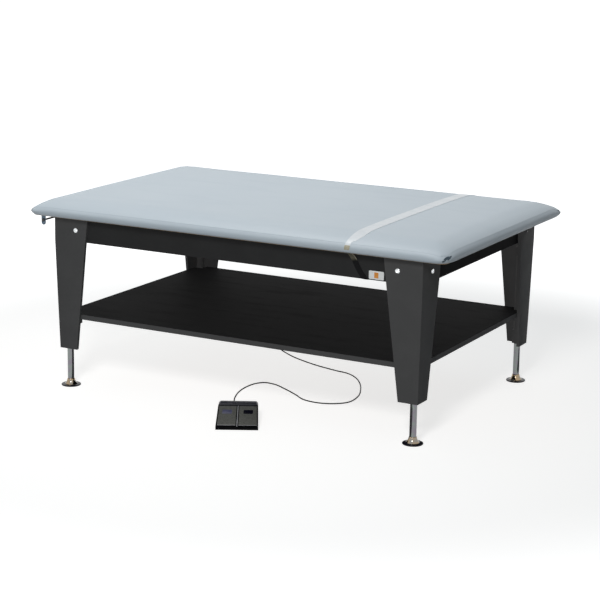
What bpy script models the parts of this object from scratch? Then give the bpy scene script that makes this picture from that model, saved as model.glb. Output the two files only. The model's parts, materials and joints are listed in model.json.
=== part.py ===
# Treatment plinth: a wide powered table with a vinyl pad, four L-shaped board legs, a low shelf,
# a lift column inside each leg, a power unit under the shelf and a twin-pedal foot switch.
# Metres, +Z up. +X is the foot end, -Y the front. The floor is at z = 0.

import math

import bmesh
import bpy
from mathutils import Matrix, Vector

# Clearances and cutters
FIT = 0.0003
CUT_OVERRUN = 0.004
WELD = 0.00001

# Pad
PAD_LENGTH = 1.93
PAD_WIDTH = 1.22
PAD_CORNER_RADIUS = 0.045
PAD_SKIRT_WALL = 0.0145
PAD_SKIRT_LIFT = 0.0025
PAD_LOWER_ROLL = 0.010
PAD_LIP = 0.0045
PAD_ROLL_RISE = 0.048
PAD_SIDE_ROLL = 0.145
PAD_END_ROLL = 0.115
PAD_CROWN = 0.0085
PAD_DRAW_IN = 0.003
LOWER_TURN_SHARES = (0, 0.33, 0.66, 1)
ROLL_TURN_SHARES = (0, 0.17, 0.34, 0.51, 0.68, 0.84, 1)
CROWN_INSET_SHARES = (0.25, 0.5, 0.75)
CORNER_GROWTH_SHARE = 0.25
CROWN_POWER_SHARE = 2.0
DECK_THICKNESS = 0.017

# Frame, which the pad overhangs
PAD_END_OVERHANG = 0.115
PAD_SIDE_OVERHANG = 0.040
FRAME_LENGTH = PAD_LENGTH - 2 * PAD_END_OVERHANG
FRAME_WIDTH = PAD_WIDTH - 2 * PAD_SIDE_OVERHANG
HALF_LENGTH = FRAME_LENGTH / 2
HALF_WIDTH = FRAME_WIDTH / 2
LEG_HEIGHT = 0.570
LEG_CLEARANCE = 0.168
LEG_BOARD = 0.013
LEG_TOP_WIDTH = 0.166
LEG_FOOT_WIDTH = 0.086
LEG_LEAN = 0.0105
LEG_EDGE_RADIUS = 0.0015
RAIL_DEPTH = 0.102
RAIL_THICKNESS = 0.018
KNEE_DROP = 0.004
FRAME_TOP = LEG_CLEARANCE + LEG_HEIGHT
RAIL_BOTTOM = FRAME_TOP - RAIL_DEPTH
LEG_KNEE = RAIL_BOTTOM - KNEE_DROP

# Leg bolts, with their nuts
BOLT_INSET_LONG = 0.106
BOLT_INSET_END = 0.089
BOLT_DROP_LONG = 0.051
BOLT_DROP_END = 0.055
BOLT_HEAD_RADIUS = 0.0085
BOLT_HEAD_HEIGHT = 0.0028
BOLT_SHANK_RADIUS = 0.003
BOLT_HOLE_RADIUS = 0.0033
NUT_RADIUS = 0.0055
NUT_HEIGHT = 0.005

# Shelf
SHELF_RISE = 0.133
SHELF_THICKNESS = 0.021
SHELF_NOTCH_CLEARANCE = 0.006
CLEAT_DEPTH = 0.015
CLEAT_HEIGHT = 0.018
CLEAT_LENGTH = 0.030
CLEAT_MARGIN = 0.002
SHELF_BOTTOM = LEG_CLEARANCE + SHELF_RISE

# Lift columns
COLUMN_RADIUS = 0.018
COLUMN_BORE_RADIUS = 0.0145
COLUMN_WIPER_RADIUS = 0.0162
COLUMN_WIPER_DEPTH = 0.004
COLUMN_HEADROOM = 0.036
COLUMN_CAP = 0.012
COLUMN_RISE = 0.002
COLUMN_BLOCK_RISE = 0.004
COLUMN_LOWER_BLOCK = 0.060
COLUMN_UPPER_BLOCK = 0.040
PORT_RADIUS = 0.007
PORT_LENGTH = 0.010
ROD_RADIUS = 0.014
ROD_ENGAGEMENT = 0.2603
ROD_CHAMFER = 0.002
ROD_SOCKET_DEPTH = 0.020

# Feet
HUB_HEIGHT = 0.024
HUB_BOTTOM_RADIUS = 0.023
HUB_TOP_RADIUS = 0.0155
HUB_RIM = 0.003
GLIDE_RADIUS = 0.042
GLIDE_THICKNESS = 0.0057
GLIDE_EDGE = 0.0015
STUD_RADIUS = 0.006
STUD_BORE_RADIUS = 0.0063
STUD_LENGTH = 0.039

# Power unit under the shelf, in line along X
UNIT_LEFT = -0.40
UNIT_REAR_INSET = 0.170
UNIT_Y = HALF_WIDTH - UNIT_REAR_INSET
CONTROL_LENGTH = 0.140
CONTROL_WIDTH = 0.130
CONTROL_HEIGHT = 0.040
CONTROL_FLANGE = 0.003
CONTROL_FLANGE_REACH = 0.010
MOTOR_LENGTH = 0.140
MOTOR_RADIUS = 0.038
MOTOR_SHOULDER = 0.010
MOTOR_FOOT_LENGTH = 0.060
MOTOR_FOOT_WIDTH = 0.050
BLOCK_LENGTH = 0.060
BLOCK_WIDTH = 0.070
BLOCK_HEIGHT = 0.060
FITTING_RADIUS = 0.006
FITTING_LENGTH = 0.010
FITTING_SPACING = 0.030
TANK_LENGTH = 0.200
TANK_WIDTH = 0.110
TANK_HEIGHT = 0.080
TANK_CORNER_RADIUS = 0.020
TANK_CAP_RADIUS = 0.013
TANK_CAP_HEIGHT = 0.008
INLET_WIDTH = 0.028
INLET_HEIGHT = 0.020
INLET_DEPTH = 0.012
HOUSING_EDGE_RADIUS = 0.003
HOSE_RADIUS = 0.0035
HOSE_DROP = 0.016
HOSE_CLIP = 0.012
HOSE_POINTS = 24
HOSE_LEAD = 0.25
HOSE_TAIL = 0.12
HOSE_CLIP_SHARES = (0.22, 0.5, 0.8)

# Control box gland and the foot switch's cord
GLAND_IN_X = 0.069
GLAND_IN_Y = 0.046
GLAND_X = UNIT_LEFT + GLAND_IN_X
GLAND_Y = UNIT_Y + GLAND_IN_Y
GLAND_NUT_RADIUS = 0.008
GLAND_NUT_HEIGHT = 0.006
GLAND_LENGTH = 0.019
GLAND_TIP_RADIUS = 0.0045
CORD_RADIUS = 0.00275
CORD_POINTS = 80
CORD_FLOOR = 0.003

# Roll holder under the head end
ROLL_END_INSET = 0.060
ROLL_SIDE_INSET = 0.039
ROLL_X = ROLL_END_INSET - PAD_LENGTH / 2
ROLL_Y = PAD_WIDTH / 2 - ROLL_SIDE_INSET
ROLL_BRACKET_WIDTH = 0.021
ROLL_BRACKET_DROP = 0.043
ROLL_BRACKET_SHEET = 0.003
ROLL_FLANGE_REACH = 0.022
ROLL_BAR_DROP = 0.022
ROLL_BAR_RADIUS = 0.004
ROLL_HOLE_RADIUS = 0.0046
ROLL_HEAD_RADIUS = 0.007
ROLL_HEAD_THICKNESS = 0.004
SCREW_HOLE_RADIUS = 0.002

# Band over the pad, and its tails
STRAP_END_INSET = 0.306
STRAP_X = HALF_LENGTH - STRAP_END_INSET
STRAP_WIDTH = 0.028
STRAP_THICKNESS = 0.0012
STRAP_CLEARANCE = 0.0009
TAIL_LEAN = 0.056
TAIL_BOTTOM_X = STRAP_X + TAIL_LEAN
TAIL_INSIDE_RISE = 0.030

# Label plate on the front rail
LABEL_END_INSET = 0.201
LABEL_X = HALF_LENGTH - LABEL_END_INSET
LABEL_WIDTH = 0.064
LABEL_HEIGHT = 0.033
LABEL_RISE = 0.004
LABEL_THICKNESS = 0.0008
LABEL_CORNER_RADIUS = 0.003

# Foot switch, in its own frame: x to the right, y to the rear, the front edge at y = 0
SWITCH_X = 0.1328
SWITCH_FRONT_REACH = 0.1175
SWITCH_Y = -PAD_WIDTH / 2 - SWITCH_FRONT_REACH
SWITCH_TURN_SHARE = 0.0789
SWITCH_WIDTH = 0.170
SWITCH_REAR_WIDTH = 0.160
SWITCH_DEPTH = 0.190
BASE_FLOOR = 0.004
BASE_WALL = 0.005
BASE_FRONT_HEIGHT = 0.0085
BASE_REAR_HEIGHT = 0.020
RIDGE_WIDTH = 0.004
WALL_DROP = 0.0015
PEDAL_FRONT_HEIGHT = 0.0175
PEDAL_REAR_HEIGHT = 0.0555
PEDAL_SHEET = 0.004
PEDAL_LIP_BOTTOM = 0.0092
PEDAL_SIDE_GAP = 0.0006
PEDAL_FRONT = BASE_WALL + PEDAL_SIDE_GAP
COVER_FRONT = 0.150
COVER_HEIGHT = 0.065
COVER_WALL = 0.0025
COVER_BROW = 0.0075
COVER_CORNER_RADIUS = 0.012
PIN_Y = 0.165
PIN_Z = 0.044
PIN_RADIUS = 0.002
PIN_HOLE_RADIUS = 0.0023
ARM_WIDTH = 0.008
ARM_EYE = 0.0055
ARM_REACH = 0.022
EAR_THICKNESS = 0.003
EAR_HALF_DEPTH = 0.008
EAR_OVER_PIN = 0.0065
MICROSWITCH_Y = 0.090
MICROSWITCH_WIDTH = 0.020
MICROSWITCH_DEPTH = 0.008
MICROSWITCH_HEIGHT = 0.019
PLUNGER_RADIUS = 0.0015
PLUNGER_CLEARANCE = 0.0026
RELIEF_X = -0.006
RELIEF_Z = 0.033
RELIEF_LENGTH = 0.025
RELIEF_COLLAR = 0.003
RELIEF_COLLAR_RADIUS = 0.0065
RELIEF_ROOT_RADIUS = 0.0045
RELIEF_TIP_RADIUS = 0.0035

# Facets
ROUND_STEPS = 24
SMALL_STEPS = 12
CORNER_STEPS = 5
LONG_SIDE_STEPS = 8
SHORT_SIDE_STEPS = 6

SWITCH_TURN = math.tau * SWITCH_TURN_SHARE
CORNERS = {
    "front_left": (-1, -1),
    "front_right": (1, -1),
    "rear_right": (1, 1),
    "rear_left": (-1, 1),
}
COLOURS = {
    "vinyl": ((0.42, 0.50, 0.55), 0.45, 0.0),
    "laminate": ((0.028, 0.028, 0.029), 0.5, 0.0),
    "deck_ply": ((0.36, 0.25, 0.15), 0.7, 0.0),
    "chrome": ((0.75, 0.76, 0.78), 0.12, 1.0),
    "black_steel": ((0.02, 0.02, 0.022), 0.4, 0.3),
    "cast_alloy": ((0.45, 0.46, 0.47), 0.5, 0.9),
    "black_plastic": ((0.018, 0.018, 0.02), 0.55, 0.0),
    "pedal_plastic": ((0.06, 0.06, 0.06), 0.6, 0.0),
    "hose_rubber": ((0.015, 0.015, 0.015), 0.6, 0.0),
    "band": ((0.68, 0.70, 0.74), 0.4, 0.0),
    "elastic": ((0.02, 0.02, 0.022), 0.8, 0.0),
    "label": ((0.85, 0.86, 0.84), 0.4, 0.0),
    "bracket_steel": ((0.16, 0.20, 0.25), 0.35, 0.6),
}


def clear_scene():
    for old in list(bpy.data.objects):
        bpy.data.objects.remove(old, do_unlink=True)


def make_material(name):
    colour, roughness, metallic = COLOURS[name]
    material = bpy.data.materials.new(name)
    material.use_nodes = True
    shader = material.node_tree.nodes["Principled BSDF"]
    shader.inputs["Base Color"].default_value = (*colour, 1)
    shader.inputs["Roughness"].default_value = roughness
    shader.inputs["Metallic"].default_value = metallic
    return material


def add_empty(name, parent, place, turn=0):
    empty = bpy.data.objects.new(name, None)
    empty.parent = parent
    empty.location = place
    empty.rotation_euler.z = turn
    bpy.context.collection.objects.link(empty)
    return empty


def add_piece(name, bm, material, parent, place=(0, 0, 0), rounded=False):
    bmesh.ops.remove_doubles(bm, verts=bm.verts, dist=WELD)
    bmesh.ops.recalc_face_normals(bm, faces=bm.faces)
    mesh = bpy.data.meshes.new(name)
    bm.to_mesh(mesh)
    bm.free()
    if rounded:
        mesh.shade_smooth()
        mesh.set_sharp_from_angle(angle=math.radians(35))
    piece = bpy.data.objects.new(name, mesh)
    piece.parent = parent
    piece.location = place
    if material:
        mesh.materials.append(material)
    bpy.context.collection.objects.link(piece)
    return piece


def combine(piece, bm, operation, place=(0, 0, 0)):
    # The cutter or boss is kept as a wire helper, which is left out of the model.
    helper = add_piece(f"{piece.name}_{operation.lower()}", bm, None, piece.parent, place)
    helper.hide_render = True
    helper.display_type = "WIRE"
    boolean = piece.modifiers.new(operation.title(), "BOOLEAN")
    boolean.operation = operation
    boolean.object = helper


def add_box(bm, low, high):
    low, high = Vector(low), Vector(high)
    size = high - low
    matrix = Matrix.Translation((low + high) / 2) @ Matrix.Diagonal((*size, 1))
    return bmesh.ops.create_cube(bm, size=1, matrix=matrix)["verts"]


def add_rod(bm, start, end, radius, steps=SMALL_STEPS):
    start, end = Vector(start), Vector(end)
    along = end - start
    turn = along.to_track_quat("Z", "Y").to_matrix().to_4x4()
    matrix = Matrix.Translation((start + end) / 2) @ turn
    bmesh.ops.create_cone(
        bm,
        cap_ends=True,
        segments=steps,
        radius1=radius,
        radius2=radius,
        depth=along.length,
        matrix=matrix,
    )


def add_prism(bm, outline, place):
    # place(point, side) gives the corner in space, side being 0 or 1.
    ends = [[bm.verts.new(place(point, side)) for point in outline] for side in (0, 1)]
    skin_rings(bm, ends)


def skin_rings(bm, rings):
    for near, far in zip(rings, rings[1:]):
        for i in range(len(near)):
            j = (i + 1) % len(near)
            bm.faces.new((near[i], near[j], far[j], far[i]))
    bm.faces.new(list(reversed(rings[0])))
    bm.faces.new(rings[-1])


def loft(bm, rings):
    skin_rings(bm, [[bm.verts.new(point) for point in ring] for ring in rings])


def turn_profile(bm, profile, steps, matrix=Matrix()):
    # A profile of (radius, height) points. One that leaves the axis comes back to its start.
    closed = profile[0][0] > 0
    verts = [bm.verts.new((radius, 0, height)) for radius, height in profile]
    count = len(verts)
    pairs = [(i, (i + 1) % count) for i in range(count if closed else count - 1)]
    edges = [bm.edges.new((verts[i], verts[j])) for i, j in pairs]
    bmesh.ops.spin(
        bm,
        geom=verts + edges,
        axis=(0, 0, 1),
        cent=(0, 0, 0),
        angle=math.tau,
        steps=steps,
        use_merge=True,
    )
    bmesh.ops.remove_doubles(bm, verts=bm.verts, dist=WELD)
    bmesh.ops.transform(bm, matrix=matrix, verts=bm.verts)


def rounded_outline(half_x, low_y, high_y, radii, steps):
    # Corner radii in the order upper right, upper left, lower left, lower right.
    corners = ((1, high_y), (-1, high_y), (-1, low_y), (1, low_y))
    points = []
    for turn, ((side, y), radius) in enumerate(zip(corners, radii)):
        inward = -1 if y == high_y else 1
        centre = Vector((side * (half_x - radius), y + inward * radius))
        if not radius:
            points.append(centre)
            continue
        for step in range(steps + 1):
            angle = math.pi / 2 * (turn + step / steps)
            points.append(centre + radius * Vector((math.cos(angle), math.sin(angle))))
    return points


def bevel_edges(bm, edges, radius, segments=2):
    bmesh.ops.bevel(
        bm,
        geom=edges,
        offset=radius,
        segments=segments,
        profile=0.5,
        affect="EDGES",
    )


# Sizes that several pieces share


def leg_lean(z):
    return LEG_LEAN * max(0, LEG_KNEE - z) / (LEG_KNEE - LEG_CLEARANCE)


def leg_inside(half, z):
    # How far from the middle the inner face of a leg board is, at a height.
    return half - leg_lean(z) - LEG_BOARD


def leg_free_edge(half, z):
    share = (FRAME_TOP - z) / LEG_HEIGHT
    foot = half - LEG_LEAN - LEG_FOOT_WIDTH
    return (half - LEG_TOP_WIDTH) * (1 - share) + foot * share


RAIL_X = HALF_LENGTH - LEG_BOARD - FIT
RAIL_Y = HALF_WIDTH - LEG_BOARD - FIT
COLUMN_BOTTOM = LEG_CLEARANCE + COLUMN_RISE
COLUMN_TOP = RAIL_BOTTOM - COLUMN_HEADROOM
COLUMN_BLOCK_BOTTOM = LEG_CLEARANCE + COLUMN_BLOCK_RISE
COLUMN_X = leg_inside(HALF_LENGTH, COLUMN_BLOCK_BOTTOM) - FIT - COLUMN_RADIUS
COLUMN_Y = leg_inside(HALF_WIDTH, COLUMN_BLOCK_BOTTOM) - FIT - COLUMN_RADIUS
HUB_BOTTOM = GLIDE_THICKNESS + FIT
ROD_BOTTOM = HUB_BOTTOM + HUB_HEIGHT + FIT
DECK_BOTTOM = FRAME_TOP + FIT
DECK_TOP = DECK_BOTTOM + DECK_THICKNESS
SKIRT_BOTTOM = FRAME_TOP + PAD_SKIRT_LIFT
UNIT_TOP = SHELF_BOTTOM - FIT
HOSE_Z = SHELF_BOTTOM - HOSE_DROP
MOTOR_LEFT = UNIT_LEFT + CONTROL_LENGTH + FIT
BLOCK_LEFT = MOTOR_LEFT + MOTOR_LENGTH + FIT
TANK_LEFT = BLOCK_LEFT + BLOCK_LENGTH + FIT
CONTROL_BOTTOM = UNIT_TOP - CONTROL_HEIGHT
GLAND_TIP = CONTROL_BOTTOM - FIT - GLAND_LENGTH
HALF_SWITCH = SWITCH_WIDTH / 2
PEDAL_SLOPE = (PEDAL_REAR_HEIGHT - PEDAL_FRONT_HEIGHT) / (COVER_FRONT - PEDAL_FRONT)
RELIEF_TIP = SWITCH_DEPTH + FIT + RELIEF_LENGTH

# The cord's way in the table's own frame, from the gland down to the floor, under the table
# and forward to the back of the foot switch.
CORD_ROUTE = (
    (GLAND_X, GLAND_Y, GLAND_TIP - FIT),
    (GLAND_X, GLAND_Y, 0.200),
    (GLAND_X, GLAND_Y, 0.110),
    (-0.330, 0.445, 0.045),
    (-0.324, 0.441, 0.014),
    (-0.300, 0.425, CORD_FLOOR),
    (-0.205, 0.358, CORD_FLOOR),
    (-0.061, 0.290, CORD_FLOOR),
    (0.063, 0.253, CORD_FLOOR),
    (0.134, 0.237, CORD_FLOOR),
    (0.196, 0.191, CORD_FLOOR),
    (0.252, 0.119, CORD_FLOOR),
    (0.296, 0.039, CORD_FLOOR),
    (0.334, -0.059, CORD_FLOOR),
    (0.340, -0.156, CORD_FLOOR),
    (0.310, -0.200, CORD_FLOOR),
    (0.269, -0.225, CORD_FLOOR),
    (0.219, -0.234, CORD_FLOOR),
    (0.158, -0.221, CORD_FLOOR),
    (0.094, -0.174, CORD_FLOOR),
    (0.014, -0.121, CORD_FLOOR),
    (-0.059, -0.082, CORD_FLOOR),
    (-0.110, -0.081, CORD_FLOOR),
    (-0.135, -0.117, CORD_FLOOR),
    (-0.142, -0.185, CORD_FLOOR),
    (-0.131, -0.261, CORD_FLOOR),
    (-0.109, -0.327, CORD_FLOOR),
    (-0.082, -0.384, CORD_FLOOR),
    (-0.040, -0.445, 0.009),
    (-0.006, -0.490, 0.024),
    (0.013, -0.520, 0.0315),
)


def switch_to_table(x, y, z):
    turned = Matrix.Rotation(SWITCH_TURN, 3, "Z") @ Vector((x, y, z))
    return turned + Vector((SWITCH_X, SWITCH_Y, 0))


def table_shift():
    # The plan's middle is the middle of the pad and the foot switch together.
    front = min(
        switch_to_table(-HALF_SWITCH, 0, 0).y,
        switch_to_table(HALF_SWITCH, 0, 0).y,
        -PAD_WIDTH / 2,
    )
    return -(PAD_WIDTH / 2 + front) / 2


def make_leg(name, material, parent, side_x, side_y):
    bm = bmesh.new()
    rings = []
    for z in (LEG_CLEARANCE, LEG_KNEE, FRAME_TOP):
        outer_x, outer_y = HALF_LENGTH - leg_lean(z), HALF_WIDTH - leg_lean(z)
        inner_x, inner_y = outer_x - LEG_BOARD, outer_y - LEG_BOARD
        free_x, free_y = leg_free_edge(HALF_LENGTH, z), leg_free_edge(HALF_WIDTH, z)
        section = (
            (outer_x, outer_y),
            (free_x, outer_y),
            (free_x, inner_y),
            (inner_x, inner_y),
            (inner_x, free_y),
            (outer_x, free_y),
        )
        rings.append([(side_x * x, side_y * y, z) for x, y in section])
    loft(bm, rings)
    corner = [
        edge
        for edge in bm.edges
        if all(
            abs(abs(v.co.x) - HALF_LENGTH + leg_lean(v.co.z)) < WELD
            and abs(abs(v.co.y) - HALF_WIDTH + leg_lean(v.co.z)) < WELD
            for v in edge.verts
        )
    ]
    bevel_edges(bm, corner, LEG_EDGE_RADIUS)
    leg = add_piece(name, bm, material, parent)
    holes = bmesh.new()
    x, z = side_x * (HALF_LENGTH - BOLT_INSET_LONG), FRAME_TOP - BOLT_DROP_LONG
    ends = [side_y * (HALF_WIDTH + over) for over in (-LEG_BOARD - CUT_OVERRUN, CUT_OVERRUN)]
    add_rod(holes, (x, ends[0], z), (x, ends[1], z), BOLT_HOLE_RADIUS)
    y, z = side_y * (HALF_WIDTH - BOLT_INSET_END), FRAME_TOP - BOLT_DROP_END
    ends = [side_x * (HALF_LENGTH + over) for over in (-LEG_BOARD - CUT_OVERRUN, CUT_OVERRUN)]
    add_rod(holes, (ends[0], y, z), (ends[1], y, z), BOLT_HOLE_RADIUS)
    combine(leg, holes, "DIFFERENCE")


def make_long_rail(name, material, parent, side):
    bm = bmesh.new()
    near, far = sorted((side * (RAIL_Y - RAIL_THICKNESS), side * RAIL_Y))
    add_box(bm, (-RAIL_X, near, RAIL_BOTTOM), (RAIL_X, far, FRAME_TOP))
    rail = add_piece(name, bm, material, parent)
    holes = bmesh.new()
    for end in (-1, 1):
        x, z = end * (HALF_LENGTH - BOLT_INSET_LONG), FRAME_TOP - BOLT_DROP_LONG
        start, stop = (x, near - CUT_OVERRUN, z), (x, far + CUT_OVERRUN, z)
        add_rod(holes, start, stop, BOLT_HOLE_RADIUS)
    combine(rail, holes, "DIFFERENCE")


def make_end_rail(name, material, parent, side):
    bm = bmesh.new()
    half = RAIL_Y - RAIL_THICKNESS - FIT
    near, far = sorted((side * (RAIL_X - RAIL_THICKNESS), side * RAIL_X))
    add_box(bm, (near, -half, RAIL_BOTTOM), (far, half, FRAME_TOP))
    rail = add_piece(name, bm, material, parent)
    holes = bmesh.new()
    for end in (-1, 1):
        y, z = end * (HALF_WIDTH - BOLT_INSET_END), FRAME_TOP - BOLT_DROP_END
        start, stop = (near - CUT_OVERRUN, y, z), (far + CUT_OVERRUN, y, z)
        add_rod(holes, start, stop, BOLT_HOLE_RADIUS)
    combine(rail, holes, "DIFFERENCE")


def make_leg_bolt(name, material, parent, place, outward):
    # Head, shank and nut in one, with the head on the leg and the nut inside the rail.
    grip = LEG_BOARD + RAIL_THICKNESS + 3 * FIT
    dome = [
        (BOLT_HEAD_RADIUS * math.sin(angle), BOLT_HEAD_HEIGHT * math.cos(angle))
        for angle in (math.pi / 2 * share for share in (0, 0.3, 0.6, 0.85, 1))
    ]
    profile = dome + [
        (BOLT_SHANK_RADIUS, 0),
        (BOLT_SHANK_RADIUS, -grip),
        (NUT_RADIUS, -grip),
        (NUT_RADIUS, -grip - NUT_HEIGHT),
        (0, -grip - NUT_HEIGHT),
    ]
    bm = bmesh.new()
    aim = Vector(outward).to_track_quat("Z", "X").to_matrix().to_4x4()
    turn_profile(bm, profile, SMALL_STEPS, aim)
    add_piece(name, bm, material, parent, place, rounded=True)


def make_shelf(material, parent):
    half_x = leg_inside(HALF_LENGTH, SHELF_BOTTOM) - FIT
    half_y = leg_inside(HALF_WIDTH, SHELF_BOTTOM) - FIT
    notch_x = COLUMN_X - COLUMN_RADIUS - SHELF_NOTCH_CLEARANCE
    notch_y = COLUMN_Y - COLUMN_RADIUS - SHELF_NOTCH_CLEARANCE
    quarter = ((half_x, notch_y), (notch_x, notch_y), (notch_x, half_y))
    outline = []
    for turn, (side_x, side_y) in enumerate(((1, 1), (-1, 1), (-1, -1), (1, -1))):
        points = quarter if turn % 2 == 0 else quarter[::-1]
        outline += [(side_x * x, side_y * y) for x, y in points]
    bm = bmesh.new()
    heights = (SHELF_BOTTOM, SHELF_BOTTOM + SHELF_THICKNESS)
    add_prism(bm, outline, lambda point, side: (*point, heights[side]))
    shelf = add_piece("shelf", bm, material, parent)
    cleats = bmesh.new()
    bottom = SHELF_BOTTOM - CLEAT_HEIGHT
    top = SHELF_BOTTOM + CUT_OVERRUN
    out_x = leg_inside(HALF_LENGTH, bottom) - FIT
    out_y = leg_inside(HALF_WIDTH, bottom) - FIT
    free_x = leg_free_edge(HALF_LENGTH, bottom) + CLEAT_MARGIN
    free_y = leg_free_edge(HALF_WIDTH, bottom) + CLEAT_MARGIN
    spans = (
        ((free_x, free_x + CLEAT_LENGTH), (out_y - CLEAT_DEPTH, out_y)),
        ((out_x - CLEAT_DEPTH, out_x), (free_y, free_y + CLEAT_LENGTH)),
    )
    for side_x, side_y in CORNERS.values():
        for span_x, span_y in spans:
            xs = sorted(side_x * x for x in span_x)
            ys = sorted(side_y * y for y in span_y)
            add_box(cleats, (xs[0], ys[0], bottom), (xs[1], ys[1], top))
    combine(shelf, cleats, "UNION")


def make_deck(material, parent):
    inset = PAD_SKIRT_WALL + FIT
    radii = [PAD_CORNER_RADIUS - inset] * 4
    half_y = PAD_WIDTH / 2 - inset
    outline = rounded_outline(PAD_LENGTH / 2 - inset, -half_y, half_y, radii, CORNER_STEPS)
    bm = bmesh.new()
    heights = (DECK_BOTTOM, DECK_TOP)
    add_prism(bm, outline, lambda point, side: (*point, heights[side]))
    add_piece("deck_board", bm, material, parent)


def pad_ring(end_inset, side_inset, radius, z, draw_in):
    # One level of the pad: round corners, and sides that are drawn in between them.
    half_x, half_y = PAD_LENGTH / 2 - end_inset, PAD_WIDTH / 2 - side_inset
    ring = []
    for turn, (side_x, side_y) in enumerate(((1, 1), (-1, 1), (-1, -1), (1, -1))):
        centre = Vector((side_x * (half_x - radius), side_y * (half_y - radius)))
        for step in range(CORNER_STEPS + 1):
            angle = math.pi / 2 * (turn + step / CORNER_STEPS)
            point = centre + radius * Vector((math.cos(angle), math.sin(angle)))
            ring.append((*point, z))
        along_x = turn % 2 == 0
        steps = LONG_SIDE_STEPS if along_x else SHORT_SIDE_STEPS
        for step in range(1, steps):
            share = 1 - 2 * step / steps
            dip = draw_in * (1 - share**2) ** 2
            if along_x:
                ring.append((side_x * share * (half_x - radius), side_y * (half_y - dip), z))
            else:
                ring.append((side_x * (half_x - dip), side_y * share * (half_y - radius), z))
    return ring


def make_cushion(material, parent):
    # The skirt's inner wall, the lower roll, the long roll over the edge and the crown, upwards.
    wall = PAD_SKIRT_WALL
    recess_radius = PAD_CORNER_RADIUS - wall
    rings = [pad_ring(wall, wall, recess_radius, z, 0) for z in (DECK_TOP + FIT, SKIRT_BOTTOM)]
    for share in LOWER_TURN_SHARES:
        angle = math.pi / 2 * share
        inset = PAD_LOWER_ROLL * (1 - math.sin(angle))
        z = SKIRT_BOTTOM + PAD_LOWER_ROLL * (1 - math.cos(angle))
        rings.append(pad_ring(inset, inset, PAD_CORNER_RADIUS - inset, z, PAD_DRAW_IN))
    roll_foot = SKIRT_BOTTOM + PAD_LOWER_ROLL + PAD_LIP
    for share in ROLL_TURN_SHARES:
        angle = math.pi / 2 * share
        across = 1 - math.cos(angle)
        side_inset = PAD_SIDE_ROLL * across
        radius = PAD_CORNER_RADIUS + CORNER_GROWTH_SHARE * side_inset
        z = roll_foot + PAD_ROLL_RISE * math.sin(angle)
        draw_in = PAD_DRAW_IN * (1 - across)
        rings.append(pad_ring(PAD_END_ROLL * across, side_inset, radius, z, draw_in))
    for share in CROWN_INSET_SHARES:
        inset = share * (PAD_WIDTH / 2 - PAD_SIDE_ROLL)
        z = roll_foot + PAD_ROLL_RISE + PAD_CROWN * (1 - (1 - share) ** CROWN_POWER_SHARE)
        rings.append(pad_ring(PAD_END_ROLL + inset, PAD_SIDE_ROLL + inset, radius, z, 0))
    bm = bmesh.new()
    loft(bm, rings)
    bmesh.ops.triangulate(bm, faces=bm.faces)
    path = pad_path(bm)
    add_piece("cushion", bm, material, parent, rounded=True)
    return path


def make_column(name, material, parent, side_x, side_y, port):
    bm = bmesh.new()
    centre = (side_x * COLUMN_X, side_y * COLUMN_Y)
    add_rod(bm, (*centre, COLUMN_BOTTOM), (*centre, COLUMN_TOP), COLUMN_RADIUS, ROUND_STEPS)
    column = add_piece(name, bm, material, parent, rounded=True)
    lower, upper = bmesh.new(), bmesh.new()
    half = COLUMN_RADIUS
    block_top = COLUMN_BLOCK_BOTTOM + COLUMN_LOWER_BLOCK
    add_box(
        lower,
        (centre[0] - half, centre[1] - half, COLUMN_BLOCK_BOTTOM),
        (centre[0] + half, centre[1] + half, block_top),
    )
    combine(column, lower, "UNION")
    bottom = COLUMN_TOP - COLUMN_UPPER_BLOCK
    reach_x = leg_inside(HALF_LENGTH, bottom) - FIT
    reach_y = leg_inside(HALF_WIDTH, bottom) - FIT
    xs = sorted((side_x * (COLUMN_X - half - FIT), side_x * reach_x))
    ys = sorted((side_y * (COLUMN_Y - half - FIT), side_y * reach_y))
    over_top = COLUMN_TOP + FIT
    add_box(upper, (xs[0], ys[0], bottom), (xs[1], ys[1], over_top))
    combine(column, upper, "UNION")
    boss = bmesh.new()
    root = Vector((*centre, HOSE_Z))
    reach = COLUMN_RADIUS + PORT_LENGTH
    start = root + Vector(port) * COLUMN_BORE_RADIUS
    add_rod(boss, start, root + Vector(port) * reach, PORT_RADIUS, SMALL_STEPS)
    combine(column, boss, "UNION")
    bore = bmesh.new()
    profile = (
        (0, COLUMN_TOP - COLUMN_CAP),
        (COLUMN_BORE_RADIUS, COLUMN_TOP - COLUMN_CAP),
        (COLUMN_BORE_RADIUS, COLUMN_BOTTOM + COLUMN_WIPER_DEPTH),
        (COLUMN_WIPER_RADIUS, COLUMN_BOTTOM + COLUMN_WIPER_DEPTH),
        (COLUMN_WIPER_RADIUS, COLUMN_BOTTOM - CUT_OVERRUN),
        (0, COLUMN_BOTTOM - CUT_OVERRUN),
    )
    turn_profile(bore, profile, ROUND_STEPS, Matrix.Translation((*centre, 0)))
    combine(column, bore, "DIFFERENCE")
    return root + Vector(port) * (reach + FIT)


def make_rod(name, material, parent, place):
    top = COLUMN_BOTTOM + ROD_ENGAGEMENT
    profile = (
        (0, top),
        (ROD_RADIUS - ROD_CHAMFER, top),
        (ROD_RADIUS, top - ROD_CHAMFER),
        (ROD_RADIUS, ROD_BOTTOM),
        (STUD_BORE_RADIUS, ROD_BOTTOM),
        (STUD_BORE_RADIUS, ROD_BOTTOM + ROD_SOCKET_DEPTH),
        (0, ROD_BOTTOM + ROD_SOCKET_DEPTH),
    )
    bm = bmesh.new()
    turn_profile(bm, profile, ROUND_STEPS)
    add_piece(name, bm, material, parent, place, rounded=True)


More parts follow.
